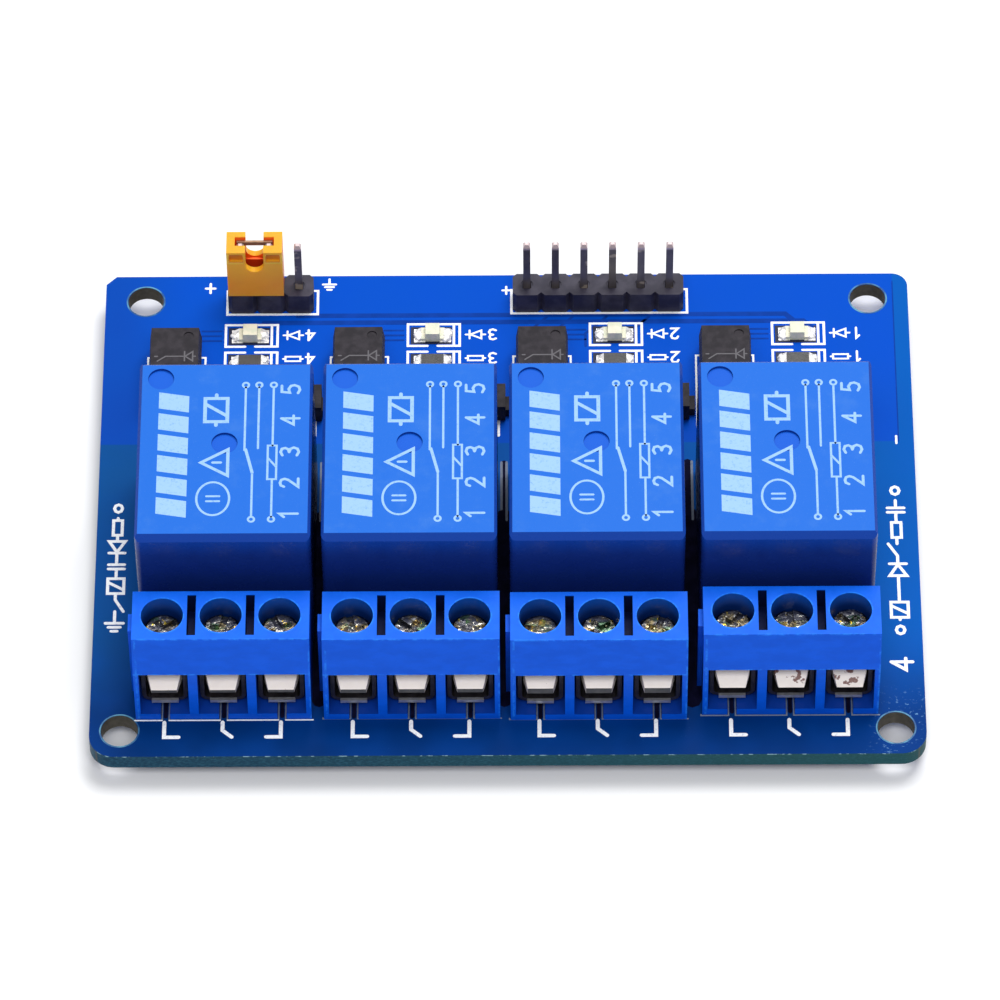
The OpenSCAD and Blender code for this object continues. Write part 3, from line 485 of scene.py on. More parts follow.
def cap_plastic():
    """Yellow-orange nylon, painted red inside for the light that comes through its walls, with a paler
    band and two sunk windows near its top.
    """
    f = Finish("cap_plastic", (0.85, 0.4, 0.05), 0.4, Specular_IOR_Level=0.2, Subsurface_Weight=0.35,
               Subsurface_Radius=(1.0, 0.3, 0.06), Subsurface_Scale=1.6 * MM)
    up = f.fade(f.facing()["Z"], 0.4, 0.8)
    share = f.share()
    side = f.mix(f.noise(0.9, 3), (0.95, 0.31, 0.02), (1.0, 0.37, 0.025))
    side = f.mix(f.fade(share["Z"], 0.2, 0.8), side, (1.0, 0.46, 0.035))
    off = f.away(share["X"], 0.5)
    wings = f.both(f.fade(off, 0.19, 0.21), f.fade(f.facing()["Y"], -0.6, -0.9))
    rims = f.both(f.fade(share["Z"], 0.73, 0.75), f.fade(share["Z"], 0.97, 0.95))
    side = f.mix(f.both(rims, wings), side, (1.0, 0.56, 0.07))
    sunk = f.both(f.fade(share["Z"], 0.77, 0.79), f.fade(share["Z"], 0.93, 0.91))
    sunk = f.both(sunk, f.both(wings, f.fade(off, 0.47, 0.45)))
    side = f.mix(sunk, side, (0.72, 0.22, 0.015))
    shell = f.mix(up, side, (0.74, 0.35, 0.02))
    # Painted light: red inside, where light comes through the walls.
    depth = f.away(share["Y"], 0.5)
    inner = f.both(f.fade(depth, 0.275, 0.265), f.fade(share["Z"], 0.985, 0.97))
    f.color(f.mix(inner, shell, (0.95, 0.11, 0.006)))
    f.rough(f.noise(0.5, 3), 0.3, 0.45)
    f.bump(f.noise(0.2, 3), 0.015, 0.4)
    return f.material


def spring_bronze():
    """Bronze strip, bare on top and lit red inside the cap."""
    f = Finish("spring_bronze", (0.5, 0.38, 0.27), 0.35, Metallic=0.6)
    bare = f.mix(f.noise(0.6, 3), (0.16, 0.08, 0.04), (0.4, 0.26, 0.17))
    inside = f.fade(f.share()["Z"], 0.93, 0.86)
    f.color(f.mix(inside, bare, (0.75, 0.09, 0.01)))
    f.rough(f.noise(0.4, 4), 0.27, 0.5)
    f.bump(f.noise(0.2, 4), 0.01, 0.4)
    return f.material


def solder():
    """Bright solder, pitted where the flux boiled."""
    f = Finish("solder", (0.75, 0.75, 0.76), 0.35, Metallic=0.35)
    f.color(f.mix(f.fade(f.noise(0.3, 4, 0.6), 0.32, 0.55), (0.42, 0.41, 0.4), (0.9, 0.88, 0.86)))
    f.rough(f.noise(0.25, 4), 0.2, 0.5)
    f.bump(f.noise(0.22, 4), 0.06, 0.7)
    return f.material


def print_ink(name, ink, ground):
    """Screen-printed ink, thin enough for what is under it to show in places."""
    f = Finish(name, ink, 0.6, Specular_IOR_Level=0.2)
    thin = f.fade(f.noise(0.25, 4, 0.7), 0.5, 0.78)
    f.color(f.mix(f.both(thin, 0.55), ink, ground))
    f.rough(f.noise(0.3, 3), 0.5, 0.7)
    f.bump(f.noise(0.15, 3), 0.01, 0.4)
    return f.material


def led_resin():
    """Cream resin over a white carrier, faintly green."""
    f = Finish("led_resin", (0.75, 0.72, 0.55), 0.25, Specular_IOR_Level=0.3)
    f.color(f.mix(f.fade(f.noise(0.5, 3), 0.35, 0.65), (0.72, 0.68, 0.54), (0.6, 0.62, 0.48)))
    f.rough(f.noise(0.4, 2), 0.18, 0.35)
    f.bump(f.noise(0.3, 3), 0.02, 0.4)
    return f.material


def family(make, rows):
    """Finishes of one kind: each row has a name, two colours and what else make takes."""
    return {name: make(name, *row) for name, row in rows.items()}


# One finish for each of the record's material slots, and more for print, bare places and painted shade.
FINISH = {make.__name__: make() for make in (
    board_mask, relay_plastic, coil_wire, terminal_plastic, screw_steel, clamp_steel,
    tongue_alloy, header_pin, cap_plastic, spring_bronze, led_resin, solder,
)}
FINISH |= family(metal, {
    "magnet_iron": ((0.42, 0.41, 0.39), (0.6, 0.59, 0.57), 0.35),
    "contact_alloy": ((0.62, 0.42, 0.2), (0.8, 0.6, 0.34), 0.28),
    "lead_tin": ((0.5, 0.5, 0.5), (0.75, 0.75, 0.76), 0.3),
})
FINISH |= family(plain_plastic, {
    "relay_base_plastic": ((0.002, 0.012, 0.08), (0.004, 0.02, 0.12), 0.45),
    "bobbin_plastic": ((0.62, 0.58, 0.48), (0.72, 0.69, 0.6), 0.45),
    "header_plastic": ((0.018, 0.016, 0.03), (0.04, 0.036, 0.055), 0.5, 0.25),
    "chip_epoxy": ((0.014, 0.012, 0.016), (0.028, 0.024, 0.03), 0.55, 0.15, 0.15, 0.02),
    "resistor_body": ((0.008, 0.008, 0.009), (0.02, 0.019, 0.02), 0.3),
})
EXTRA = family(print_ink, {
    "silk": ((0.9, 0.91, 0.92), (0.05, 0.15, 0.5)),
    # Painted shade: white print made darker, for lines that lie in the gaps and before the blocks.
    "silk_in_painted_shade": ((0.16, 0.19, 0.26), (0.01, 0.03, 0.14)),
    "relay_print": ((0.27, 0.45, 0.74), (0.03, 0.18, 0.58)),
    "faint_print": ((0.11, 0.105, 0.115), (0.05, 0.045, 0.05)),
})
EXTRA |= family(plain_plastic, {
    "bare_gap": ((0.002, 0.035, 0.25), (0.003, 0.042, 0.3), 0.4, 0.03),
    "chip_ground": ((0.006, 0.009, 0.03), (0.012, 0.018, 0.05), 0.4, 0.2),
    "gap_shade": ((0.003, 0.003, 0.014), (0.007, 0.007, 0.03), 0.6, 0.02),
    "hole_rim": ((0.01, 0.07, 0.2), (0.1, 0.3, 0.42), 0.4, 0.2),
})


def dress_nodes():
    """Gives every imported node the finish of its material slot."""
    for row in frame["record"]["subparts"]:
        slots = NODES[row["node"]].data.materials
        slots.clear()
        slots.append(FINISH[row["material_slot"]])


dress_nodes()


# ---- flat work: print, tracks and pads ----

MITRE_LIMIT = 0.4


class Flat:
    """A piece made of thin flat shapes that lie on one level and ride on the board."""

    SUNK = 0.005 * MM
    LIFT = 0.004 * MM

    def __init__(self, name, material, slot, level=TOP, thickness=0.02):
        self.name, self.material, self.slot = name, material, slot
        self.low = level - self.SUNK
        self.high = level + thickness * MM
        self.shapes = 0
        self.mesh = bmesh.new()

    def level(self):
        """The level of the next shape's face, so that no two neighbours share one."""
        self.shapes += 1
        return self.high + self.LIFT * (self.shapes % 4)

    def outline(self, points):
        """A flat prism with the given outline, in metres."""
        high = self.level()
        area = sum(a.x * b.y - b.x * a.y for a, b in zip(points, points[1:] + points[:1]))
        if area < 0:
            points = points[::-1]
        top = [self.mesh.verts.new((p.x, p.y, high)) for p in points]
        bottom = [self.mesh.verts.new((p.x, p.y, self.low)) for p in points]
        self.mesh.faces.new(top)
        self.mesh.faces.new(bottom[::-1])
        for i in range(len(points)):
            j = (i + 1) % len(points)
            self.mesh.faces.new((top[i], bottom[i], bottom[j], top[j]))

    def box(self, x0, y0, x1, y1):
        """A flat box between two corners."""
        self.outline([Vector(p) for p in ((x0, y0), (x1, y0), (x1, y1), (x0, y1))])

    def ring(self, x, y, radius, width, stretch=1.0, steps=36):
        """A closed round line, which stretch makes longer in Y."""
        turn = 2 * math.pi / steps
        self.loop([(x + radius * math.cos(k * turn), y + stretch * radius * math.sin(k * turn))
                   for k in range(steps)], width)

    def loop(self, points, width):
        """A closed line of one width through the points, mitred at its corners."""
        points = [Vector(p) for p in points]
        high = self.level()
        rims = []
        for i, point in enumerate(points):
            before = (point - points[i - 1]).normalized()
            after = (points[(i + 1) % len(points)] - point).normalized()
            normal = Vector((-before.y - after.y, before.x + after.x)).normalized()
            reach = width / 2 / max(normal.dot(Vector((-after.y, after.x))), MITRE_LIMIT)
            rims.append([self.mesh.verts.new((p.x, p.y, z))
                         for p in (point + normal * reach, point - normal * reach)
                         for z in (high, self.low)])
        for a, b in zip(rims, rims[1:] + rims[:1]):
            for j, k in ((0, 2), (2, 3), (3, 1), (1, 0)):
                self.mesh.faces.new((a[j], a[k], b[k], b[j]))

    def stroke(self, points, width, cap=4):
        """A line of one width through the points, with mitred corners and round ends."""
        points = [Vector(p) for p in points]
        half = width / 2
        steps = [(b - a).normalized() for a, b in zip(points, points[1:])]
        sides = [Vector((-d.y, d.x)) for d in steps]
        left, right = [], []
        for i, point in enumerate(points):
            before, after = sides[max(i - 1, 0)], sides[min(i, len(sides) - 1)]
            normal = (before + after).normalized()
            reach = half / max(normal.dot(after), MITRE_LIMIT)
            left.append(point + normal * reach)
            right.append(point - normal * reach)
        outline = left + self.round_end(points[-1], steps[-1], half, cap)
        outline += right[::-1] + self.round_end(points[0], -steps[0], half, cap)
        self.outline(outline)

    @staticmethod
    def round_end(point, direction, half, cap):
        """The points that close a stroke with half a circle."""
        start = math.atan2(direction.y, direction.x) + math.pi / 2
        angles = [start - math.pi * k / cap for k in range(1, cap)]
        return [point + half * Vector((math.cos(a), math.sin(a))) for a in angles]

    def done(self):
        """Ends the shapes and makes the piece."""
        add_piece(self.name, self.mesh, self.material)


def add_piece(name, mesh, material, smooth=False):
    """Turns a bmesh into a piece that rides on the board."""
    data = bpy.data.meshes.new(name)
    bmesh.ops.recalc_face_normals(mesh, faces=mesh.faces)
    mesh.to_mesh(data)
    mesh.free()
    data.materials.append(material)
    if smooth:
        data.shade_smooth()
    piece = bpy.data.objects.new(name, data)
    bpy.context.collection.objects.link(piece)
    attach(piece, "board")


# ---- generic marks, in the places of the real one's lettering ----

# Each mark is a few strokes in a cell one unit long and one unit high. A stroke that ends
# where it starts is a closed loop. Circuit symbols side by side join along their middles.
MARKS = {
    "pair": [[(0.15, 0), (0.15, 1)], [(0.65, 0), (0.65, 1)]],
    "cross": [[(0.4, 0.1), (0.4, 0.9)], [(0.05, 0.5), (0.75, 0.5)]],
    "wire": [[(0, 0.5), (1, 0.5)]],
    "coil": [[(0, 0.5), (0.12, 0.5)], [(0.12, 0.1), (0.88, 0.1), (0.88, 0.9), (0.12, 0.9), (0.12, 0.1)],
             [(0.32, 0.14), (0.68, 0.86)], [(0.88, 0.5), (1, 0.5)]],
    "resistor": [[(0, 0.5), (0.12, 0.5)],
                 [(0.12, 0.28), (0.88, 0.28), (0.88, 0.72), (0.12, 0.72), (0.12, 0.28)],
                 [(0.88, 0.5), (1, 0.5)]],
    "diode": [[(0, 0.5), (0.2, 0.5)], [(0.2, 0.1), (0.2, 0.9), (0.76, 0.5), (0.2, 0.1)],
              [(0.8, 0.1), (0.8, 0.9)], [(0.8, 0.5), (1, 0.5)]],
    "plates": [[(0, 0.5), (0.4, 0.5)], [(0.4, 0.1), (0.4, 0.9)], [(0.62, 0.1), (0.62, 0.9)],
               [(0.62, 0.5), (1, 0.5)]],
    "contact": [[(0, 0.5), (0.2, 0.5)], [(0.2, 0.5), (0.8, 0.92)], [(0.8, 0.5), (1, 0.5)]],
    "earth": [[(0, 0.5), (0.4, 0.5)], [(0.4, 0.05), (0.4, 0.95)], [(0.6, 0.2), (0.6, 0.8)],
              [(0.8, 0.35), (0.8, 0.65)]],
    "pin": [[(0.5, 0.3), (0.64, 0.36), (0.7, 0.5), (0.64, 0.64), (0.5, 0.7), (0.36, 0.64), (0.3, 0.5),
             (0.36, 0.36), (0.5, 0.3)]],
    "1": [[(0.2, 0.75), (0.45, 1), (0.45, 0)]],
    "2": [[(0.1, 0.78), (0.2, 0.95), (0.4, 1), (0.62, 0.93), (0.7, 0.75), (0.62, 0.55), (0.1, 0),
           (0.72, 0)]],
    "3": [[(0.1, 0.9), (0.35, 1), (0.6, 0.93), (0.66, 0.75), (0.56, 0.58), (0.34, 0.53)],
          [(0.34, 0.53), (0.6, 0.46), (0.7, 0.28), (0.6, 0.07), (0.36, 0), (0.1, 0.1)]],
    "4": [[(0.55, 0), (0.55, 1)], [(0.55, 1), (0.08, 0.32), (0.76, 0.32)]],
    "5": [[(0.68, 1), (0.2, 1), (0.14, 0.56), (0.42, 0.62), (0.66, 0.5), (0.72, 0.3), (0.6, 0.06),
           (0.36, 0), (0.1, 0.1)]],
}
LEFT, AWAY, NEAR = Vector((-1, 0)), Vector((0, 1)), Vector((0, -1))


def mark_row(flat, marks, start, heading, height, pitch, width):
    """Marks in a row that reads along heading."""
    rise = Vector((-heading.y, heading.x))
    for k, mark in enumerate(marks):
        corner = Vector(start) + heading * pitch * k
        for line in MARKS[mark]:
            points = [corner + heading * u * pitch + rise * v * height for u, v in line]
            if line[0] == line[-1]:
                flat.loop(points[:-1], width)
            else:
                flat.stroke(points, width)


# ---- white print on the board ----

SILK_LINE = 0.22 * MM
LEDS = clusters("indicator_leds", 2 * MM)
OPTOS = clusters("optocouplers", 2 * MM)
SERIES = clusters("chip_resistors", 2 * MM, behind=RELAY_BACK + 8 * MM)
CHIPS = LEDS + SERIES


def middle(box):
    """The middle of a cluster's box."""
    return (box[0] + box[1]) / 2


def pole_x(channel, pole):
    """The X of a terminal pole."""
    return centre(f"terminal_screw_{channel}_{pole}").x


def chip_brackets(flat, x, y):
    """Two facing brackets round a chip, with a second line on the right."""
    left, right, second, gap, reach = (v * MM for v in (2.2, 2.42, 1.9, 0.45, 1.22))
    low, high = y - reach, y + reach
    for inner, outer in ((x - gap, x - left), (x + gap, x + right)):
        flat.stroke([(inner, low), (outer, low), (outer, high), (inner, high)], SILK_LINE)
    flat.stroke([(x + second, low), (x + second, high)], SILK_LINE)


def opto_brackets(flat, x, y):
    """Two facing brackets round an optocoupler, of which the left one is longer in front."""
    reach_x, reach_y, foot = 2.55 * MM, 2.6 * MM, 0.35 * MM
    for side, drop in ((-1, 3.4 * MM), (1, 0)):
        edge = x + side * reach_x
        inner = edge - side * foot
        low, high = y - reach_y - drop, y + reach_y
        flat.stroke([(inner, low), (edge, low), (edge, high), (inner, high)], SILK_LINE * 0.8)


def contact_symbols(flat, channel):
    """The common, opening and closing contacts, one stroke under each pole."""
    low, high = BOARD_LOW.y + 2.0 * MM, BOARD_LOW.y + 3.55 * MM
    bend, tip, foot, width = high - 0.85 * MM, 0.8 * MM, 1.25 * MM, 0.34 * MM
    left, mid, right = (pole_x(channel, pole) - 0.1 * MM for pole in POLES)
    flat.stroke([(left, high), (left, low), (left + foot, low)], width)
    flat.stroke([(mid, high), (mid, bend), (mid + tip, low)], width)
    flat.stroke([(right, high), (right, low), (right - foot, low)], width)


def terminal_outlines():
    """A thin line before each terminal block, turned in at each slit, in white print painted darker as
    shade.
    """
    lines = Flat("terminal_outlines", EXTRA["silk_in_painted_shade"], "board_mask", thickness=0.02)
    slit, depth, width, corner = 0.3 * MM, 1.9 * MM, 0.12 * MM, 0.1 * MM
    for channel in CHANNELS:
        low, high = corners(f"terminal_housing_{channel}")
        # The line shows before the outer blocks, and lies just under the inner ones.
        clear = 0.12 if channel in (1, 4) else -0.06
        front = low.y - clear * MM
        start = (low.x + slit, front + corner)
        for pole in POLES:
            x = pole_x(channel, pole)
            inner = (x - slit, front + depth)
            lines.stroke([start, (start[0], front), (x - slit, front), inner], width)
            start = (x + slit, front + depth)
        lines.stroke([start, (start[0], front), (high.x + corner, front)], width)
    lines.done()


def dark_gaps():
    """The shaded strips of board in the slits of the terminals and between the relays."""
    shades = Flat("dark_gaps", EXTRA["gap_shade"], "board_mask", thickness=0.01)
    for channel in CHANNELS:
        front = corners(f"terminal_housing_{channel}")[0].y
        for pole in POLES:
            x = pole_x(channel, pole)
            shades.stroke([(x, front + 0.25 * MM), (x, front + 2.2 * MM)], 0.36 * MM)
    narrow_from, narrow_to = RELAY_BACK - 5 * MM, RELAY_BACK + 0.8 * MM
    for channel in range(1, 4):
        low, high = corners(f"relay_cover_{channel}")
        right = corners(f"relay_cover_{channel + 1}")[0].x
        x, gap = (high.x + right) / 2, right - high.x
        shades.stroke([(x, low.y - 6 * MM), (x, narrow_from)], gap + 0.3 * MM)
        shades.stroke([(x, narrow_from), (x, narrow_to)], 0.5 * gap)
    shades.done()


def relay_outlines():
    """The sides of the relays' footprints, which show in the narrow gaps between the covers, in white
    print painted darker as shade.
    """
    lines = Flat("relay_outlines", EXTRA["silk_in_painted_shade"], "board_mask", thickness=0.02)
    for channel in CHANNELS:
        low, high = corners(f"relay_cover_{channel}")
        start, end = high.y - 5.5 * MM, high.y + 0.85 * MM
        for x in (low.x - 0.3 * MM, high.x + 0.3 * MM):
            lines.stroke([(x, start), (x, end)], SILK_LINE)
    lines.done()


def header_outline(flat, name):
    """A line round a header, a little wider on the right."""
    low, high = corners(name)
    x0, x1 = low.x - 0.12 * MM, high.x + 0.34 * MM
    y0, y1 = low.y - 0.1 * MM, high.y + 0.12 * MM
    flat.loop([(x0, y0), (x1, y0), (x1, y1), (x0, y1)], SILK_LINE)


def channel_marks(flat, led, series, number):
    """The symbols of a diode and of a resistor with the channel's number, upside down."""
    height, pitch = 1.15 * MM, 1.02 * MM
    for at, rise, symbol in ((led, 0.72, "diode"), (series, 1.05, "resistor")):
        level = at.y + rise * MM
        mark_row(flat, (number,), (at.x + 5.75 * MM, level), LEFT, height, pitch, 0.2 * MM)
        mark_row(flat, (symbol,), (at.x + 4.7 * MM, level), LEFT, height, 1.75 * MM, 0.17 * MM)


def first_terminal_line(flat):
    """A brighter line before the first terminal block, broken at its slits."""
    low, high = corners("terminal_housing_1")
    slit = 0.3 * MM
    edges = [low.x + slit]
    for pole in POLES:
        edges += [pole_x(1, pole) - slit, pole_x(1, pole) + slit]
    edges.append(high.x + 0.1 * MM)
    front = low.y - 0.14 * MM
    for start, end in zip(edges[::2], edges[1::2]):
        flat.stroke([(start, front), (end, front)], 0.11 * MM)


def header_marks(flat):
    """A cross and an earth sign beside the power header, and a cross beside the input header."""
    power_low, power_high = corners("power_header_body")
    inputs = corners("input_header_body")[0]
    level = power_high.y + 1.1 * MM
    height, pitch, small, width = 1.3 * MM, 1.2 * MM, 0.8, 0.2 * MM
    mark_row(flat, ("cross",), (power_low.x - 1.2 * MM, level), LEFT, height, pitch, 0.22 * MM)
    mark_row(flat, ("earth",), (power_high.x + 0.7 * MM, level + 0.35 * MM), NEAR,
             height, 1.5 * MM, width)
    mark_row(flat, ("cross",), (inputs.x - 0.2 * MM, level - 0.5 * MM), LEFT,
             height * small, pitch * small, width)


# Where the rows of marks along the board's two sides start, and how far in they are.
ROW_INSET = 0.95 * MM
LEFT_ROW_Y = 1.3 * MM
DIGIT_Y = -17.6 * MM
RIGHT_ROW_Y = -14.3 * MM


def side_rows(flat):
    """A row of symbols down the left side, and a 4 and a row of symbols up the right side."""
    left, right = BOARD_LOW.x + ROW_INSET, BOARD_HIGH.x - ROW_INSET
    height, width = 1.85 * MM, 0.27 * MM
    mark_row(flat, ("pin", "resistor", "diode", "plates", "coil", "contact", "earth"),
             (left, LEFT_ROW_Y), NEAR, 1.75 * MM, 2.1 * MM, width)
    mark_row(flat, ("4",), (right, DIGIT_Y), AWAY, height, 1.78 * MM, 0.3 * MM)
    mark_row(flat, ("pin", "coil", "wire", "diode", "contact", "resistor", "plates", "pin"),
             (right, RIGHT_ROW_Y), AWAY, height, 2.15 * MM, width)


def pour_ticks(flat):
    """Short lines at the pour's edge: one at its right end, and two behind gaps between relays."""
    end = POUR_RIGHT - 0.26 * MM
    flat.stroke([(end, POUR_EDGE - 0.25 * MM), (end, POUR_EDGE + 0.55 * MM)], 0.2 * MM)
    for x in (-16.97 * MM, -0.75 * MM):
        flat.stroke([(x, POUR_EDGE + 0.8 * MM), (x, POUR_EDGE + 2.5 * MM)], 0.26 * MM)


def board_print():
    """The white print: outlines round the parts, contact symbols and generic marks."""
    silk = Flat("board_print", EXTRA["silk"], "board_mask", thickness=0.03)
    for channel, (led, opto, series) in enumerate(zip(LEDS, OPTOS, SERIES), 1):
        at_led, at_opto, at_series = middle(led), middle(opto), middle(series)
        chip_brackets(silk, at_led.x, at_led.y + 0.1 * MM)
        chip_brackets(silk, at_series.x, at_series.y)
        opto_brackets(silk, at_opto.x, at_opto.y)
        channel_marks(silk, at_led, at_series, str(5 - channel))
        contact_symbols(silk, channel)
    for name in ("input_header_body", "power_header_body"):
        header_outline(silk, name)
    first_terminal_line(silk)
    header_marks(silk)
    side_rows(silk)
    pour_ticks(silk)
    silk.done()


# ---- lines in the copper, pads and bare laminate ----

def board_tracks():
    """The clearance lines in the copper pour, which run beside its tracks."""
    gaps = Flat("pour_gaps", EXTRA["bare_gap"], "board_mask", thickness=0.008)
    first, last = middle(LEDS[0]).x, middle(LEDS[3]).x
    turn = 0.7 * MM
    for inset, left, right in ((4.54, 4.2, -1.0), (5.34, 1.2, 0.6)):
        y = BOARD_HIGH.y - inset * MM
        start, end = first + left * MM, last + right * MM
        gaps.stroke([(start, y), (end, y), (end + turn, y - turn)], 0.48 * MM)
    for led, opto in zip(LEDS, OPTOS):
        at_led, at_opto = middle(led), middle(opto)
        for step in (-0.45, 0.1, 0.65):
            y = at_led.y + step * MM
            gaps.stroke([(at_opto.x + 2.2 * MM, y), (at_led.x - 2.6 * MM, y)], 0.18 * MM)
    low, high = corners("input_header_body")
    y = low.y - 0.5 * MM
    for share, drop in ((0.2, 2.2), (0.35, 1.5), (0.55, 1.9), (0.8, 1.2)):
        x = low.x + share * (high.x - low.x)
        end_x, end_y = x - drop * MM, y - drop * MM
        gaps.stroke([(x, y), (end_x, end_y), (end_x, end_y - 1.4 * MM)], 0.24 * MM)
    edge = POUR_RIGHT - 0.05 * MM
    gaps.stroke([(edge, POUR_EDGE), (edge, BOARD_HIGH.y - 0.9 * MM)], 0.1 * MM)
    gaps.done()


def chip_pads():
    """Tinned pads under the indicators and the series resistors."""
    pads = Flat("chip_pads", FINISH["solder"], "solder", thickness=0.05)
    half_x, half_y = 0.5 * MM, 0.72 * MM
    for box in CHIPS:
        at = middle(box)
        for side in SIDES:
            x = at.x + side * 1.15 * MM
            pads.box(x - half_x, at.y - half_y, x + half_x, at.y + half_y)
    pads.done()


def relay_print(channel):
    """Slanted blocks, a ring, plain symbols, a wiring diagram and pin numbers on a relay's lid."""
    low, high = corners(f"relay_cover_{channel}")
    ink = Flat(f"relay_print_{channel}", EXTRA["relay_print"], "relay_plastic",
               level=high.z, thickness=0.008)

    def at(x, y):
        return Vector((low.x + x * MM, low.y + y * MM))

    block_left, block_right, slant, length = 1.75, 4.35, 0.45, 1.75
    for block in range(6):
        start = 2.15 + block * 2.25
        ink.outline([at(block_right, start), at(block_right, start + length),
                     at(block_left, start + length + slant), at(block_left, start + slant)])
    ring = at(6.6, 4.15)
    ink.ring(*ring, 1.4 * MM, 0.2 * MM, stretch=1.25)
    mark_row(ink, ("pair",), (ring.x + 0.55 * MM, ring.y - 0.42 * MM), AWAY,
             1.1 * MM, 1.05 * MM, 0.2 * MM)
    ink.loop([at(7.8, 6.6), at(7.8, 9.4), at(5.5, 8.0)], 0.28 * MM)
    ink.stroke([at(7.2, 8.0), at(6.5, 8.0)], 0.24 * MM)
    mark_row(ink, ("coil",), at(7.9, 12.0), AWAY, 2.4 * MM, 3.3 * MM, 0.32 * MM)

    # The wiring diagram: a coil with a lead to each side, and above it a contact arm that
    # lies on one of two fixed contacts. Every lead ends in a small round pin.
    thin, front_pin, back_pin = 0.19 * MM, 1.95, 16.35
    lead_start, lead_end, arm_start, arm_end = 2.2, 16.1, 6.9, 9.4
    coil, arm, open_contact, shut_contact = 11.6, 9.9, 10.35, 9.2
    coil_left, coil_right, coil_start, coil_end = 11.2, 11.95, 6.2, 9.8
    for level, start, end in ((coil, lead_start, coil_start), (coil, coil_end, lead_end),
                              (arm, lead_start, arm_start), (open_contact, 9.5, lead_end),
                              (shut_contact, 9.3, lead_end)):
        ink.stroke([at(level, start), at(level, end)], thin)
    ink.loop([at(coil_right, coil_start), at(coil_right, coil_end), at(coil_left, coil_end),
              at(coil_left, coil_start)], thin)
    ink.stroke([at(coil_right, 7.5), at(coil_left, 8.5)], thin)
    ink.stroke([at(arm, arm_start), at(9.3, arm_end)], thin * 1.4)
    for level, pin in ((coil, front_pin), (arm, front_pin), (coil, back_pin),
                       (open_contact, back_pin), (shut_contact, back_pin)):
        ink.ring(*at(level, pin), 0.26 * MM, thin, steps=14)
    for number in range(5):
        mark_row(ink, (str(number + 1),), at(13.85, 1.9 + number * 3.35), AWAY,
                 1.55 * MM, 1.4 * MM, 0.24 * MM)
    ink.done()


def opto_print():
    """A faint diode and contact burnt into the optocouplers' tops."""
    ink = Flat("opto_print", EXTRA["faint_print"], "chip_epoxy",
               level=corners("optocouplers")[1].z, thickness=0.006)
    for box in OPTOS:
        at = middle(box)
        mark_row(ink, ("diode", "wire", "contact"), (at.x + 1.85 * MM, at.y + 0.5 * MM), LEFT,
                 1.3 * MM, 1.2 * MM, 0.13 * MM)
    ink.done()


def chip_grounds():
    """A dark patch round the middle of each chip, between its pads."""
    ground = Flat("chip_grounds", EXTRA["chip_ground"], "board_mask", thickness=0.012)
    left, right, front, back = 1.95 * MM, 1.72 * MM, 0.92 * MM, 1.0 * MM
    for box in CHIPS:
        at = middle(box)
        ground.box(at.x - left, at.y - front, at.x + right, at.y + back)
    ground.done()


def hole_rims():
    """The worn edge of the mask round each mounting hole."""
    rims = Flat("hole_rims", EXTRA["hole_rim"], "board_mask", thickness=0.008)
    holes = [row for row in frame["record"]["mounts"] if row["kind"] == "bolt_pattern"]
    for side in SIDES:
        for row in holes:
            dims = row["dims"]
            x = side * dims["spacing_x_mm"] / 2 * MM
            rims.ring(x, row["pos_m"][1], (dims["hole_r_mm"] + 0.08) * MM, 0.12 * MM)
    rims.done()


def diode_row():
    """The flyback diodes, with the last one far enough left to hide behind its relay."""
    name = "flyback_diode_row"
    data = NODES["flyback_diodes"].data.copy()
    data.name = name
    # The wide gap keeps the two ends of a diode in one cluster.
    last_start = clusters("flyback_diodes", 6 * MM)[-1][0].x - 0.1 * MM
    for vertex in data.vertices:
        if vertex.co.x > last_start:
            vertex.co.x -= 1.3 * MM
    row = bpy.data.objects.new(name, data)
    bpy.context.collection.objects.link(row)
    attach(row, "board")
    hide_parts("flyback_diodes")


def solder_blobs():
    """Lumpy solder at both ends of each indicator and series resistor."""
    mesh = bmesh.new()
    dice = random.Random(11)
    level = TOP + 0.1 * MM
    lowest = -0.3
    for box in CHIPS:
        at = middle(box)
        for side in SIDES:
            for _ in range(2):
                blob = bmesh.ops.create_icosphere(mesh, subdivisions=3, radius=1.0)["verts"]
                x = at.x + side * dice.uniform(1.1, 1.35) * MM
                y = at.y + dice.uniform(-0.4, 0.3) * MM
                spot = Vector((x, y, level))
                sizes = ((0.42, 0.55), (0.34, 0.5), (0.28, 0.42))
                size = Vector([dice.uniform(*between) for between in sizes]) * MM
                phase = dice.uniform(0, 6)
                for v in blob:
                    wave = math.sin(5 * v.co.x + phase) * math.cos(4 * v.co.y - phase)
                    reach = Vector((v.co.x, v.co.y, max(v.co.z, lowest))) * size
                    v.co = spot + reach * (1 + 0.12 * wave)
    add_piece("solder_blobs", mesh, FINISH["solder"], smooth=True)


def tongue_plates():
    """The sloping faces of the contact tongues, which catch the light in the wire openings."""
    mesh = bmesh.new()
    low, high = corners("terminal_pins")
    sunk = high.z - 0.02 * MM
    # How far behind the tongue's front each section is, half its width, and its rise.
    slope = ((0, 1.08, 0.02), (0.12, 1.12, 0.09), (1.33, 1.45, 0.74))
    for channel in CHANNELS:
        for pole in POLES:
            x = pole_x(channel, pole)
            sections = []
            for behind, half, rise in slope:
                y = low.y + behind * MM
                sections.append([mesh.verts.new((x + side * half * MM, y, z))
                                 for z in (sunk, high.z + rise * MM) for side in SIDES])
            for a, b in zip(sections, sections[1:]):
                for j, k in ((0, 1), (1, 3), (3, 2), (2, 0)):
                    mesh.faces.new((a[j], a[k], b[k], b[j]))
            for section in (sections[0], sections[-1]):
                mesh.faces.new((section[0], section[1], section[3], section[2]))
    add_piece("tongue_plates", mesh, FINISH["tongue_alloy"])


board_print()
tongue_plates()
diode_row()
solder_blobs()
terminal_outlines()
dark_gaps()
relay_outlines()
board_tracks()
chip_grounds()
chip_pads()
opto_print()
hole_rims()
for channel in CHANNELS:
    relay_print(channel)


# ---- floor, light and camera ----

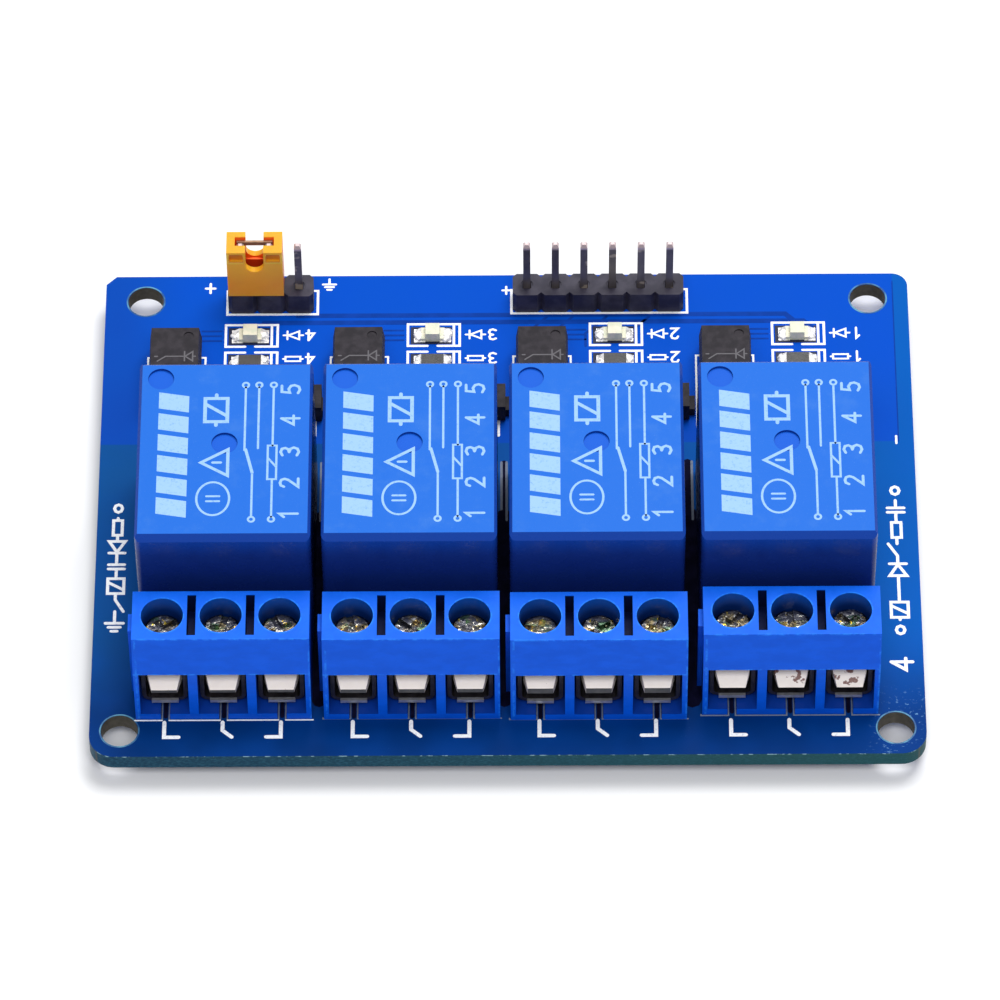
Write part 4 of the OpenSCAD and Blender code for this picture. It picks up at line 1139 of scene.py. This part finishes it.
def floor():
    """A large sheet of white paper under the leads."""
    mesh = bmesh.new()
    bmesh.ops.create_grid(mesh, x_segments=4, y_segments=4, size=FLOOR_REACH)
    data = bpy.data.meshes.new("floor")
    mesh.to_mesh(data)
    mesh.free()
    plane = bpy.data.objects.new("floor", data)
    bpy.context.collection.objects.link(plane)
    plane.location.z = CAD_BOX[0][2]
    material = bpy.data.materials.new("paper")
    material.use_nodes = True
    sheet = material.node_tree.nodes["Principled BSDF"]
    sheet.inputs["Base Color"].default_value = (FLOOR_TONE, FLOOR_TONE, FLOOR_TONE * 1.01, 1)
    sheet.inputs["Roughness"].default_value = 0.9
    sheet.inputs["Specular IOR Level"].default_value = 0.0
    data.materials.append(material)


def world():
    """White for the camera, for gloss and for glass, and a softer sky as light."""
    sky = bpy.data.worlds.new("sky")
    bpy.context.scene.world = sky
    sky.use_nodes = True
    tree = sky.node_tree
    shade = tree.nodes["Background"]
    shade.inputs["Color"].default_value = SKY_TINT
    shade.inputs["Strength"].default_value = SKY_LIGHT
    white = tree.nodes.new("ShaderNodeBackground")
    white.inputs["Color"].default_value = (1, 1, 1, 1)
    white.inputs["Strength"].default_value = 1.0
    path = tree.nodes.new("ShaderNodeLightPath")
    either = path.outputs["Is Camera Ray"]
    for ray in ("Is Glossy Ray", "Is Transmission Ray"):
        largest = tree.nodes.new("ShaderNodeMath")
        largest.operation = "MAXIMUM"
        tree.links.new(either, largest.inputs[0])
        tree.links.new(path.outputs[ray], largest.inputs[1])
        either = largest.outputs["Value"]
    mix = tree.nodes.new("ShaderNodeMixShader")
    tree.links.new(either, mix.inputs["Fac"])
    tree.links.new(shade.outputs["Background"], mix.inputs[1])
    tree.links.new(white.outputs["Background"], mix.inputs[2])
    tree.links.new(mix.outputs["Shader"], tree.nodes["World Output"].inputs["Surface"])


def softbox(name, place, width, height, power):
    """An area lamp that faces the middle of the board."""
    lamp = bpy.data.lights.new(name, "AREA")
    lamp.shape = "RECTANGLE"
    lamp.size, lamp.size_y = width, height
    lamp.energy = power
    holder = bpy.data.objects.new(name, lamp)
    holder.location = place
    aim = Vector((0, 0, TOP)) - Vector(place)
    holder.rotation_euler = aim.to_track_quat("-Z", "Y").to_euler()
    bpy.context.collection.objects.link(holder)


def camera():
    """The view from the terminal side, a little over fifty degrees above the table."""
    turn, rise, roll = (math.radians(a) for a in VIEW_ANGLES)
    flat = math.cos(rise)
    back = Vector((math.sin(turn) * flat, -math.cos(turn) * flat, math.sin(rise)))
    lens = bpy.data.cameras.new("camera")
    lens.sensor_width = 36
    lens.lens = VIEW_LENS
    lens.clip_start, lens.clip_end = 0.05, 20
    holder = bpy.data.objects.new("camera", lens)
    holder.location = VIEW_TARGET + back * VIEW_DISTANCE
    level = back.to_track_quat("Z", "Y").to_matrix()
    holder.rotation_euler = (level @ Matrix.Rotation(roll, 3, "Z")).to_euler()
    bpy.context.collection.objects.link(holder)
    bpy.context.scene.camera = holder


# The camera, as solved from the board's corners and the parts' tops: its turn, rise and
# roll in degrees, its lens in millimetres, and its distance from the point that it faces.
VIEW_ANGLES = (0.413, 53.27, -0.599)
VIEW_LENS = 262.9
VIEW_DISTANCE = 0.6407
VIEW_TARGET = Vector((-0.63 * MM, 1.02 * MM, TOP))
FLOOR_REACH = 3.0
FLOOR_TONE = 0.8
SKY_TINT = (0.94, 0.97, 1.0, 1)
SKY_LIGHT = 0.42
KEY_PLACE = (0.12, 0.24, 0.7)
FILL_PLACE = (0.0, -0.4, 0.7)

floor()
world()
softbox("key", KEY_PLACE, width=0.4, height=0.35, power=4.6)
softbox("fill", FILL_PLACE, width=0.5, height=0.25, power=3.3)
camera()
bpy.context.scene.view_settings.view_transform = "Standard"
